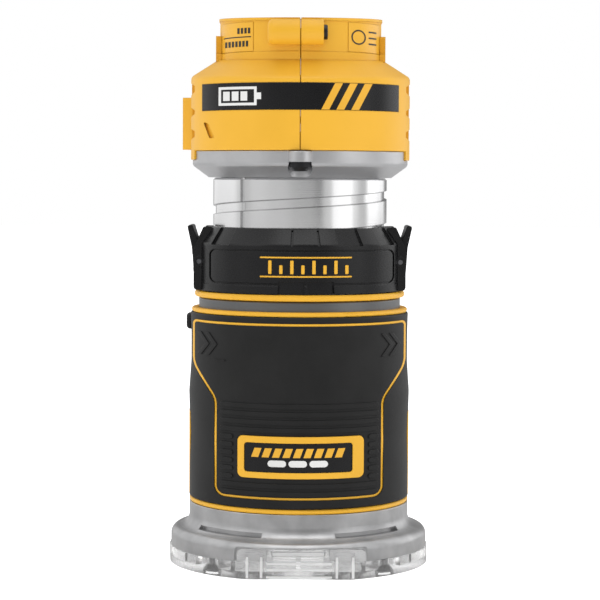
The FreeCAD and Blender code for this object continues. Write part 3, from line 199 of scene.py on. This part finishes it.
def make_light(name, azimuth, elevation, distance, size, power):
    """Soft area light that faces the middle of the tool."""
    data = bpy.data.lights.new(name, "AREA")
    data.shape = "RECTANGLE"
    data.size, data.size_y = size
    data.energy = power
    light = bpy.data.objects.new(name, data)
    bpy.context.scene.collection.objects.link(light)
    across = math.radians(azimuth)
    up = math.radians(elevation)
    offset = Vector((
        math.sin(across) * math.cos(up),
        -math.cos(across) * math.cos(up),
        math.sin(up),
    ))
    light.location = Vector((0.0, 0.0, LIGHT_AIM_HEIGHT)) + offset * distance
    light.rotation_euler = (-offset).to_track_quat("-Z", "Y").to_euler()


def floor_material():
    """White paper that also glows, except in reflections seen from outside clear plastic."""
    material = bpy.data.materials.new("floor_paper")
    material.use_nodes = True
    tree = material.node_tree
    tree.nodes.clear()
    new = tree.nodes.new
    link = tree.links.new
    paper = new("ShaderNodeBsdfDiffuse")
    paper.inputs["Color"].default_value = (FLOOR_PAPER, FLOOR_PAPER, FLOOR_PAPER, 1)
    path = new("ShaderNodeLightPath")
    through_clear = calculate(tree, "GREATER_THAN", path.outputs["Transmission Depth"], 0.5)
    mirrored = calculate(tree, "SUBTRACT", path.outputs["Is Glossy Ray"], through_clear)
    glow = new("ShaderNodeEmission")
    glow.inputs["Color"].default_value = (*WHITE, 1)
    strength = fade(tree, mirrored, 0.0, 1.0, FLOOR_GLOW, FLOOR_GLOW_MIRRORED)
    link(strength, glow.inputs["Strength"])
    both = new("ShaderNodeAddShader")
    link(paper.outputs[0], both.inputs[0])
    link(glow.outputs[0], both.inputs[1])
    output = new("ShaderNodeOutputMaterial")
    link(both.outputs[0], output.inputs["Surface"])
    return material


def make_floor():
    mesh = bpy.data.meshes.new("floor")
    build = bmesh.new()
    bmesh.ops.create_grid(build, x_segments=8, y_segments=8, size=FLOOR_HALF)
    build.to_mesh(mesh)
    build.free()
    floor = bpy.data.objects.new("floor", mesh)
    floor.location.z = FLOOR_Z
    bpy.context.scene.collection.objects.link(floor)
    mesh.materials.append(floor_material())


# ------------------------------------------------------------------ materials
GRAIN_DEPTH = 0.00012         # metres, at full relief
LATHE_DEPTH = 0.00003
LATHE_STRETCH = 4.0           # cycles per metre round the axis, where the rings run


def surface(name, light, dark, roughness, metallic=0.0, mottle=60.0, grain=1500.0,
            relief=0.25, spread=0.08, edge=0.3, specular=0.5, index=1.5):
    """Principled material whose colour, roughness and fine relief vary over the piece.

    light and dark are the two ends of its mottling, mottle and grain are noise scales in
    cycles per metre, relief is the strength of the grain, spread is how far the roughness
    varies, edge is the rounding of sharp edges in millimetres, specular is the specular
    level and index the index of refraction.
    """
    material = bpy.data.materials.new(name)
    material.use_nodes = True
    tree = material.node_tree
    new = tree.nodes.new
    link = tree.links.new
    shader = tree.nodes["Principled BSDF"]
    coords = new("ShaderNodeTexCoord")
    clouds = new("ShaderNodeTexNoise")
    clouds.inputs["Scale"].default_value = mottle
    clouds.inputs["Detail"].default_value = 4.0
    link(coords.outputs["Object"], clouds.inputs["Vector"])
    ramp = new("ShaderNodeValToRGB")
    ramp.color_ramp.elements[0].position = 0.35
    ramp.color_ramp.elements[0].color = (*dark, 1)
    ramp.color_ramp.elements[1].position = 0.65
    ramp.color_ramp.elements[1].color = (*light, 1)
    link(clouds.outputs["Fac"], ramp.inputs["Fac"])
    link(ramp.outputs[0], shader.inputs["Base Color"])
    speckle = new("ShaderNodeTexNoise")
    speckle.inputs["Scale"].default_value = grain
    speckle.inputs["Detail"].default_value = 2.0
    link(coords.outputs["Object"], speckle.inputs["Vector"])
    shine = fade(tree, speckle.outputs["Fac"], 0.0, 1.0, roughness - spread, roughness + spread)
    link(shine, shader.inputs["Roughness"])
    bump = new("ShaderNodeBump")
    bump.inputs["Strength"].default_value = relief
    bump.inputs["Distance"].default_value = GRAIN_DEPTH
    link(speckle.outputs["Fac"], bump.inputs["Height"])
    if edge:
        rounding = new("ShaderNodeBevel")
        rounding.samples = 4
        rounding.inputs["Radius"].default_value = edge * MM
        link(rounding.outputs[0], bump.inputs["Normal"])
    link(bump.outputs[0], shader.inputs["Normal"])
    shader.inputs["Metallic"].default_value = metallic
    shader.inputs["Specular IOR Level"].default_value = specular
    shader.inputs["IOR"].default_value = index
    return material


def tint(material, share, colour):
    """Take the material's base colour towards colour by share, a node's output."""
    tree = material.node_tree
    base = tree.nodes["Principled BSDF"].inputs["Base Color"]
    old = base.links[0].from_socket
    tree.links.new(mix_colour(tree, share, old, colour), base)


def turned_metal(name, light, dark, roughness, lines=2600.0, relief=0.16):
    """Bright metal with the fine rings that a lathe leaves round the Z axis."""
    material = surface(name, light, dark, roughness, metallic=1.0, mottle=25.0, spread=0.03,
                       edge=0.25)
    tree = material.node_tree
    stretch = tree.nodes.new("ShaderNodeMapping")
    stretch.inputs["Scale"].default_value = (LATHE_STRETCH, LATHE_STRETCH, lines)
    rings = tree.nodes.new("ShaderNodeTexNoise")
    rings.inputs["Scale"].default_value = 1.0
    rings.inputs["Detail"].default_value = 3.0
    bump = node_of(tree, "BUMP")
    bump.inputs["Strength"].default_value = relief
    bump.inputs["Distance"].default_value = LATHE_DEPTH
    tree.links.new(node_of(tree, "TEX_COORD").outputs["Object"], stretch.inputs["Vector"])
    tree.links.new(stretch.outputs[0], rings.inputs["Vector"])
    tree.links.new(rings.outputs["Fac"], bump.inputs["Height"])
    return material


# The sleeve's helical groove and its keyway, in millimetres.
SLEEVE_LEAD = 12.7
GROOVE_PHASE = 145.975        # height of the groove's middle on the tool's right-hand side
GROOVE_HALF = 1.8
GROOVE_END = 149.6
KEYWAY_TURN = math.radians(-130.3)
KEYWAY_HALF = 0.9
GROOVE_SHADE_SOLID, GROOVE_SHADE_GONE = 0.10, 0.38      # how far the painted shade beside a groove's edge reaches
GROOVE_SHADE_STRENGTH = 0.55
KEYWAY_SHADE_SHARE = 0.4         # of the groove's painted shade
GROOVE_SHADE_GREY = (0.12, 0.12, 0.12)


def groove_shade_line(tree, distance, half):
    """Mask of painted shade: 1 where distance from a slot's middle is half, in millimetres,
    falling to 0 around it.
    """
    off = calculate(tree, "ABSOLUTE", calculate(tree, "SUBTRACT", distance, half * MM))
    return fade(tree, off, GROOVE_SHADE_SOLID * MM, GROOVE_SHADE_GONE * MM, 1.0, 0.0)


def turned_axes(tree, x, y, angle):
    """Distance out along the direction at angle, and across it."""
    cosine = math.cos(angle)
    sine = math.sin(angle)
    out = calculate(tree, "ADD", calculate(tree, "MULTIPLY", x, cosine),
                    calculate(tree, "MULTIPLY", y, sine))
    across = calculate(tree, "SUBTRACT", calculate(tree, "MULTIPLY", y, cosine),
                       calculate(tree, "MULTIPLY", x, sine))
    return out, across


def grooved_metal(name, light, dark, roughness):
    """Turned metal with painted shade: darker grey along the edges of the helical groove and the
    keyway.
    """
    material = turned_metal(name, light, dark, roughness)
    tree = material.node_tree
    x, y, z = object_axes(tree)
    lead = SLEEVE_LEAD * MM
    rise = calculate(tree, "MULTIPLY", calculate(tree, "ARCTAN2", y, x), lead / (2 * math.pi))
    above = calculate(tree, "SUBTRACT", calculate(tree, "SUBTRACT", z, rise), GROOVE_PHASE * MM)
    near = calculate(tree, "WRAP", above, lead / 2, -lead / 2)
    groove = groove_shade_line(tree, calculate(tree, "ABSOLUTE", near), GROOVE_HALF)
    below_end = calculate(tree, "LESS_THAN", z, GROOVE_END * MM)
    groove = calculate(tree, "MULTIPLY", groove, below_end)
    out, across = turned_axes(tree, x, y, KEYWAY_TURN)
    keyway = groove_shade_line(tree, calculate(tree, "ABSOLUTE", across), KEYWAY_HALF)
    this_side = calculate(tree, "GREATER_THAN", out, 0.0)
    keyway = calculate(tree, "MULTIPLY", keyway, this_side)
    keyway = calculate(tree, "MULTIPLY", keyway, KEYWAY_SHADE_SHARE)
    # Painted shade: the base colour goes grey along the groove's and keyway's edges.
    painted_shade = calculate(tree, "MAXIMUM", groove, keyway)
    tint(material, calculate(tree, "MULTIPLY", painted_shade, GROOVE_SHADE_STRENGTH), GROOVE_SHADE_GREY)
    return material


NECK_SHADE_Z = (100.4, 101.2)           # where the painted shade under the scale ring starts on the casting, millimetres
NECK_SHADE_GREY = (0.165, 0.170, 0.175)


def cast_metal(name, light, dark, roughness):
    """Blasted casting, greyed above its neck's start by painted shade from the scale ring."""
    material = surface(name, light, dark, roughness, metallic=0.85, mottle=90.0, grain=2200.0,
                       relief=0.30, edge=0.5)
    tree = material.node_tree
    low, high = NECK_SHADE_Z
    # Painted shade: above this height the casting goes grey, standing in for the scale ring's
    # shade.
    tint(material, fade(tree, object_axes(tree)[2], low * MM, high * MM), NECK_SHADE_GREY)
    return material


def clear_plastic(name, clearness=0.90, roughness=0.08):
    material = surface(name, (0.93, 0.93, 0.93), (0.88, 0.88, 0.88), roughness, spread=0.03,
                       mottle=20.0, grain=300.0, relief=0.03, edge=0.2, index=1.45)
    shader = material.node_tree.nodes["Principled BSDF"]
    shader.inputs["Transmission Weight"].default_value = clearness
    return material


def printed(name, light, dark, roughness, specular=0.5):
    """Ink, with no rounding at its edges."""
    return surface(name, light, dark, roughness, relief=0.05, edge=0.0, specular=specular)


def make_materials():
    """One material for each slot of the record, and a few more for printing, wear and the foot
    bars' painted highlight.
    """
    made = (
        cast_metal("cast_aluminium", (0.49, 0.49, 0.495), (0.37, 0.37, 0.375), 0.36),
        grooved_metal("machined_aluminium", (0.90, 0.90, 0.90), (0.84, 0.84, 0.85), 0.17),
        clear_plastic("clear_polycarbonate"),
        surface("yellow_plastic", (0.755, 0.405, 0.031), (0.715, 0.380, 0.026), 0.42,
                mottle=40.0, grain=2600.0, relief=0.14, edge=0.45, specular=0.28),
        surface("black_rubber", (0.0125, 0.0125, 0.0125), (0.0095, 0.0095, 0.0095), 0.50,
                mottle=80.0, grain=3200.0, relief=0.35, edge=0.35, specular=0.24),
        surface("black_plastic", (0.005, 0.005, 0.0055), (0.003, 0.003, 0.0035), 0.28,
                mottle=70.0, grain=2400.0, relief=0.14, edge=0.40, specular=0.34),
        surface("flange_aluminium", (0.58, 0.58, 0.59), (0.50, 0.50, 0.51), 0.38,
                metallic=0.92, mottle=55.0, grain=2600.0, relief=0.22, edge=0.6),
        surface("black_steel", (0.030, 0.030, 0.032), (0.018, 0.018, 0.020), 0.32,
                metallic=0.6, mottle=200.0, grain=1800.0, relief=0.12, specular=0.35),
        turned_metal("bright_steel", (0.66, 0.66, 0.67), (0.58, 0.58, 0.59), 0.24),
        turned_metal("lamination_steel", (0.36, 0.36, 0.37), (0.28, 0.28, 0.29), 0.38,
                     lines=1800.0, relief=0.6),
        surface("winding_copper", (0.62, 0.24, 0.08), (0.50, 0.18, 0.06), 0.32,
                metallic=0.85, mottle=300.0, grain=900.0, relief=0.6),
        surface("magnet", (0.30, 0.30, 0.33), (0.24, 0.24, 0.26), 0.30, metallic=0.9),
        surface("circuit_board", (0.04, 0.22, 0.09), (0.02, 0.15, 0.06), 0.35,
                mottle=260.0, grain=900.0),
        surface("wire_insulation", (0.50, 0.03, 0.02), (0.40, 0.02, 0.02), 0.45),
        surface("label_film", (0.760, 0.410, 0.034), (0.730, 0.390, 0.029), 0.30,
                mottle=40.0, grain=1500.0, relief=0.05, specular=0.35),
        surface("contact_brass", (0.80, 0.60, 0.25), (0.70, 0.50, 0.20), 0.30, metallic=1.0),
        surface("worn_steel", (0.20, 0.20, 0.21), (0.13, 0.13, 0.14), 0.28, metallic=1.0,
                mottle=200.0, grain=1800.0, relief=0.12),
        # Milky clear plastic as a painted highlight: it makes the foot's bars show as bright
        # reflection lines.
        clear_plastic("milky_glint_clear", 0.45, 0.30),
        printed("white_print", (0.70, 0.70, 0.69), (0.62, 0.62, 0.61), 0.45),
        printed("yellow_print", (0.74, 0.39, 0.032), (0.69, 0.36, 0.027), 0.45, specular=0.28),
        printed("dark_print", (0.030, 0.022, 0.012), (0.020, 0.015, 0.008), 0.50),
    )
    # The CAD's own materials hold the plain names, so Blender may have numbered these.
    return {material.name.split(".")[0]: material for material in made}


WORN_NODES = {"tab_pins": "worn_steel"}


def dress_nodes():
    """Give every CAD node the material of its slot, and the worn ones their own."""
    for part in frame["record"]["subparts"]:
        node = frame["nodes"][part["node"]]
        node.data.materials.clear()
        name = WORN_NODES.get(part["node"], part["material_slot"])
        node.data.materials.append(MATERIALS[name])


# ------------------------------------------------------------------ mesh pieces
SLICE = 1.2                   # millimetres between the cuts that let a flat outline follow a curve
SUNK = 0.15                   # how far a plate's back lies under the surface that carries it
SHARP_ANGLE = math.radians(40)


def finish_piece(name, build, body, slot_name, material=None, bevel=0.0):
    """Turn a mesh in millimetres into a piece that rides on body."""
    bmesh.ops.scale(build, vec=(MM, MM, MM), verts=build.verts)
    bmesh.ops.remove_doubles(build, verts=build.verts, dist=1e-7)
    bmesh.ops.recalc_face_normals(build, faces=build.faces)
    mesh = bpy.data.meshes.new(name)
    build.to_mesh(mesh)
    build.free()
    piece = bpy.data.objects.new(name, mesh)
    bpy.context.scene.collection.objects.link(piece)
    mesh.materials.append(MATERIALS[material or slot_name])
    if bevel:
        soften = piece.modifiers.new("rounded_edges", "BEVEL")
        soften.width = bevel * MM
        soften.segments = 2
        soften.limit_method = "ANGLE"
        soften.angle_limit = SHARP_ANGLE
    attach(piece, body)
    return piece


def curved_plate(outline, radius, proud):
    """One convex outline of (x, z) as a plate on the front of a cylinder about the Z axis."""
    part = bmesh.new()
    part.faces.new([part.verts.new((x, 0.0, z)) for x, z in outline])
    low = min(x for x, _ in outline)
    high = max(x for x, _ in outline)
    steps = max(1, math.ceil((high - low) / SLICE))
    for step in range(1, steps):
        cut = low + (high - low) * step / steps
        geometry = part.verts[:] + part.edges[:] + part.faces[:]
        bmesh.ops.bisect_plane(part, geom=geometry, plane_co=(cut, 0, 0), plane_no=(1, 0, 0))
    extruded = bmesh.ops.extrude_face_region(part, geom=part.faces[:])
    outer = {item for item in extruded["geom"] if isinstance(item, bmesh.types.BMVert)}
    for vert in part.verts:
        level = radius + (proud if vert in outer else -SUNK)
        vert.co.y = -math.sqrt(max(level * level - vert.co.x ** 2, 0.0))
    return part


def wrapped(name, outlines, radius, proud, body, slot_name, material=None, bevel=0.0):
    """Plates that lie on the front of a cylinder about the Z axis.

    outlines are convex polygons of (x, z) seen from the front, in millimetres.
    """
    build = bmesh.new()
    for outline in outlines:
        part = curved_plate(outline, radius, proud)
        holder = bpy.data.meshes.new("part")
        part.to_mesh(holder)
        part.free()
        build.from_mesh(holder)
        bpy.data.meshes.remove(holder)
    return finish_piece(name, build, body, slot_name, material, bevel)


def flat_bars(name, boxes, body, slot_name, material=None, bevel=0.1):
    """Rectangular bars; boxes are (x, y, z) ranges in millimetres."""
    build = bmesh.new()
    for (x0, x1), (y0, y1), (z0, z1) in boxes:
        made = bmesh.ops.create_cube(build, size=1.0)
        for vert in made["verts"]:
            vert.co.x = x1 if vert.co.x > 0 else x0
            vert.co.y = y1 if vert.co.y > 0 else y0
            vert.co.z = z1 if vert.co.z > 0 else z0
    return finish_piece(name, build, body, slot_name, material, bevel)


def bar(x0, x1, z0, z1):
    return [(x0, z0), (x1, z0), (x1, z1), (x0, z1)]


def slanted_bar(x, width, z0, z1, lean):
    """Parallelogram whose top is shifted by lean."""
    return [(x, z0), (x + width, z0), (x + width + lean, z1), (x + lean, z1)]


def capsule(x0, x1, z0, z1, steps=6):
    """Bar with round ends."""
    radius = (z1 - z0) / 2
    middle = (z0 + z1) / 2
    points = []
    for end, start_angle in ((x1 - radius, -90.0), (x0 + radius, 90.0)):
        for step in range(steps + 1):
            angle = math.radians(start_angle + 180.0 * step / steps)
            points.append((end + radius * math.cos(angle), middle + radius * math.sin(angle)))
    return points


def chevron(x, z, width, height, stroke):
    """Two strokes that meet in a point on the right."""
    half = height / 2
    tip = x + width
    return [
        [(x, z + half), (x + stroke, z + half), (tip + stroke, z), (tip, z)],
        [(tip, z), (tip + stroke, z), (x + stroke, z - half), (x, z - half)],
    ]


def ring_outline(x, z, radius, stroke, steps=20):
    """A circle's line as a chain of short pieces."""
    inner = radius - stroke
    points = []
    for step in range(steps + 1):
        angle = 2 * math.pi * step / steps
        points.append((math.cos(angle), math.sin(angle)))
    return [
        [(x + radius * c0, z + radius * s0), (x + radius * c1, z + radius * s1),
         (x + inner * c1, z + inner * s1), (x + inner * c0, z + inner * s0)]
        for (c0, s0), (c1, s1) in zip(points, points[1:])
    ]


# ------------------------------------------------------------------ foot details
FOOT_FLAT_Y = -47.6
RAIL_X = (-12.2, 12.9)
RAIL_HEIGHTS = ((5.5, 6.5), (3.2, 4.2), (0.5, 1.3))
POST_HEIGHT = (0.5, 8.6)
POSTS_X = (-20.0, -14.6, 14.2, 20.4)
POST_WIDTH = 1.0
UPPER_RAIL = ((-9.9, 9.9), (FOOT_FLAT_Y + 0.3, FOOT_FLAT_Y + 1.25), (8.9, 10.4))


def make_foot_window():
    """Bars and posts moulded on the clear foot's front; they catch the light, and their milky
    finish paints the bright reflections of clear edges as lines.
    """
    y = (FOOT_FLAT_Y - 0.5, FOOT_FLAT_Y + 0.1)
    bars = [(RAIL_X, y, height) for height in RAIL_HEIGHTS]
    bars.append(UPPER_RAIL)
    bars += [((x, x + POST_WIDTH), y, POST_HEIGHT) for x in POSTS_X]
    flat_bars("foot_window_bars", bars, "base", "clear_polycarbonate", "milky_glint_clear", bevel=0.15)


# ------------------------------------------------------------------ grip details
PANEL_R = 43.65
RIB_PITCH = 3.05
RIB_TOP_Z = 65.4
RIB_COUNT = 12
RIB_HALF = 0.95
RIB_PROUD = 0.42
RIB_LEFT, RIB_RIGHT = -30.6, 30.9
BADGE_GAP_X = (-25.4, 26.8)   # the ribs stop here on both sides of the badge
BADGE_GAP_Z = (36.8, 55.4)


def make_grip_ribs():
    """Soft ribs across the lower grip panel, interrupted by the badge."""
    ribs = []
    for step in range(RIB_COUNT):
        z = RIB_TOP_Z - RIB_PITCH * step
        spans = [(RIB_LEFT, RIB_RIGHT)]
        if BADGE_GAP_Z[0] < z < BADGE_GAP_Z[1]:
            spans = [(RIB_LEFT, BADGE_GAP_X[0]), (BADGE_GAP_X[1], RIB_RIGHT)]
        ribs += [capsule(left, right, z - RIB_HALF, z + RIB_HALF) for left, right in spans]
    wrapped("grip_ribs", ribs, PANEL_R, RIB_PROUD, "base", "black_rubber", bevel=0.18)


EMBLEM_Z = 88.2
EMBLEM_X = (31.6, 34.8, -40.0, -36.8)
EMBLEM_WIDTH, EMBLEM_HEIGHT, EMBLEM_STROKE = 3.4, 9.0, 1.7
EMBLEM_PROUD = 0.32
SMALL_BAR = bar(-33.0, -28.6, 81.9, 82.5)


def make_grip_emblems():
    """Plain chevrons moulded in the upper corners of the panel."""
    strokes = []
    for x in EMBLEM_X:
        strokes += chevron(x, EMBLEM_Z, EMBLEM_WIDTH, EMBLEM_HEIGHT, EMBLEM_STROKE)
    strokes.append(SMALL_BAR)
    wrapped("grip_emblems", strokes, PANEL_R, EMBLEM_PROUD, "base", "black_rubber", bevel=0.2)


BADGE_R = 44.0
BADGE_INK = 0.10
STRIPE_X, STRIPE_PITCH, STRIPE_COUNT = -18.2, 4.0, 9
STRIPE_WIDTH, STRIPE_LEAN = 2.7, 1.3
STRIPE_Z = (46.0, 49.5)
DASH_PITCH, DASH_COUNT = 8.0, 3
DASH_X = (-11.9, -4.8)
DASH_Z = (42.4, 44.9)


def make_badge_marks():
    """Generic stripes on the badge: a yellow row above a white one."""
    stripes = [slanted_bar(STRIPE_X + STRIPE_PITCH * step, STRIPE_WIDTH, *STRIPE_Z, STRIPE_LEAN)
               for step in range(STRIPE_COUNT)]
    wrapped("badge_stripes", stripes, BADGE_R, BADGE_INK, "base", "yellow_plastic", "yellow_print")
    dashes = [capsule(DASH_X[0] + DASH_PITCH * step, DASH_X[1] + DASH_PITCH * step, *DASH_Z)
              for step in range(DASH_COUNT)]
    wrapped("badge_dashes", dashes, BADGE_R, BADGE_INK, "base", "yellow_plastic", "white_print")


# ------------------------------------------------------------------ head details
BAND_R = 43.52
BAND_INK = 0.07
BATTERY_OUTLINE = (
    bar(-31.4, -16.6, 186.0, 187.0),
    bar(-31.4, -16.6, 179.9, 180.9),
    bar(-31.4, -30.4, 180.9, 186.0),
    bar(-17.6, -16.6, 180.9, 186.0),
    bar(-16.6, -14.9, 182.2, 184.7),
)
CELLS_X = (-29.6, -26.2, -22.8)
CELL_WIDTH = 2.6
CELL_Z = (181.7, 185.2)
SLASHES_X = (7.9, 13.6, 19.3)
SLASH_WIDTH, SLASH_LEAN = 3.0, 5.2
SLASH_Z = (178.35, 188.35)


def make_band_marks():
    """A charge-level pictogram in white and slanted stripes in yellow."""
    cells = [bar(x, x + CELL_WIDTH, *CELL_Z) for x in CELLS_X]
    wrapped("band_charge_mark", [*BATTERY_OUTLINE, *cells], BAND_R, BAND_INK, "motor",
            "black_plastic", "white_print")
    slashes = [slanted_bar(x, SLASH_WIDTH, *SLASH_Z, SLASH_LEAN) for x in SLASHES_X]
    wrapped("band_stripes", slashes, BAND_R, BAND_INK, "motor", "yellow_plastic", "yellow_print")


LABEL_R = 32.05
LABEL_INK = 0.05
LABEL_RULE = bar(-30.2, -19.2, 206.5, 206.9)
BLOCK_WIDTH = 0.9
UPPER_BLOCKS_X = (-24.6, -23.2, -21.8, -20.4)
UPPER_BLOCKS_Z = (208.0, 210.2)
LOWER_BLOCKS_X = (-29.6, -28.2, -26.8, -25.4, -24.0, -22.6, -21.2)
LOWER_BLOCKS_Z = (203.0, 205.2)
LABEL_RING = ring_outline(22.4, 206.8, 2.9, 0.55)
LABEL_BARS_X = (26.4, 29.6)
LABEL_BARS_Z = (204.2, 206.5, 208.8)
LABEL_BAR_HEIGHT = 0.6


def make_label_marks():
    """Plain printed rules and blocks on the two rating labels, with nothing to read."""
    left = [LABEL_RULE]
    left += [bar(x, x + BLOCK_WIDTH, *UPPER_BLOCKS_Z) for x in UPPER_BLOCKS_X]
    left += [bar(x, x + BLOCK_WIDTH, *LOWER_BLOCKS_Z) for x in LOWER_BLOCKS_X]
    right = LABEL_RING + [bar(*LABEL_BARS_X, z, z + LABEL_BAR_HEIGHT) for z in LABEL_BARS_Z]
    wrapped("label_marks", left + right, LABEL_R, LABEL_INK, "motor", "black_plastic",
            "dark_print")


# ------------------------------------------------------------------ lock button's spring
LOCK_AXIS_Z = 158.6
COIL_START_Y = 31.0
COIL_R = 2.4
COIL_PITCH = 1.9
COIL_LENGTH = 6.4
WIRE_R = 0.38
WIRE_SIDES = 10
COIL_STEPS = 96


def coil_ring(build, share):
    """The wire's section at share of the way along the coil."""
    turn = 2 * math.pi * share * COIL_LENGTH / COIL_PITCH
    outward = Vector((math.cos(turn), 0, -math.sin(turn)))
    along = Vector((0, 1, 0))
    middle = Vector((0, COIL_START_Y + COIL_LENGTH * share, LOCK_AXIS_Z)) + outward * COIL_R
    ring = []
    for side in range(WIRE_SIDES):
        angle = 2 * math.pi * side / WIRE_SIDES
        offset = outward * math.cos(angle) + along * math.sin(angle)
        ring.append(build.verts.new(middle + offset * WIRE_R))
    return ring


def make_lock_coil():
    """The button's return spring as a coil of fixed length that rides on the button; the real
    spring shortens as the button goes in.
    """
    build = bmesh.new()
    rings = [coil_ring(build, step / COIL_STEPS) for step in range(COIL_STEPS + 1)]
    for ring, following in zip(rings, rings[1:]):
        for side in range(WIRE_SIDES):
            other = (side + 1) % WIRE_SIDES
            build.faces.new((ring[side], ring[other], following[other], following[side]))
    build.faces.new(rings[0])
    build.faces.new(rings[-1])
    coil = finish_piece("lock_coil", build, "spindle_lock_button", "bright_steel")
    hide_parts("lock_spring")
    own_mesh(coil)


# ------------------------------------------------------------------ build
MATERIALS = make_materials()
make_camera()
make_world()
make_floor()
for light in LIGHTS:
    make_light(*light)
dress_nodes()
make_foot_window()
make_grip_ribs()
make_grip_emblems()
make_badge_marks()
make_band_marks()
make_label_marks()
make_lock_coil()
bpy.context.scene.view_settings.view_transform = "Standard"
bpy.context.scene.cycles.use_denoising = True
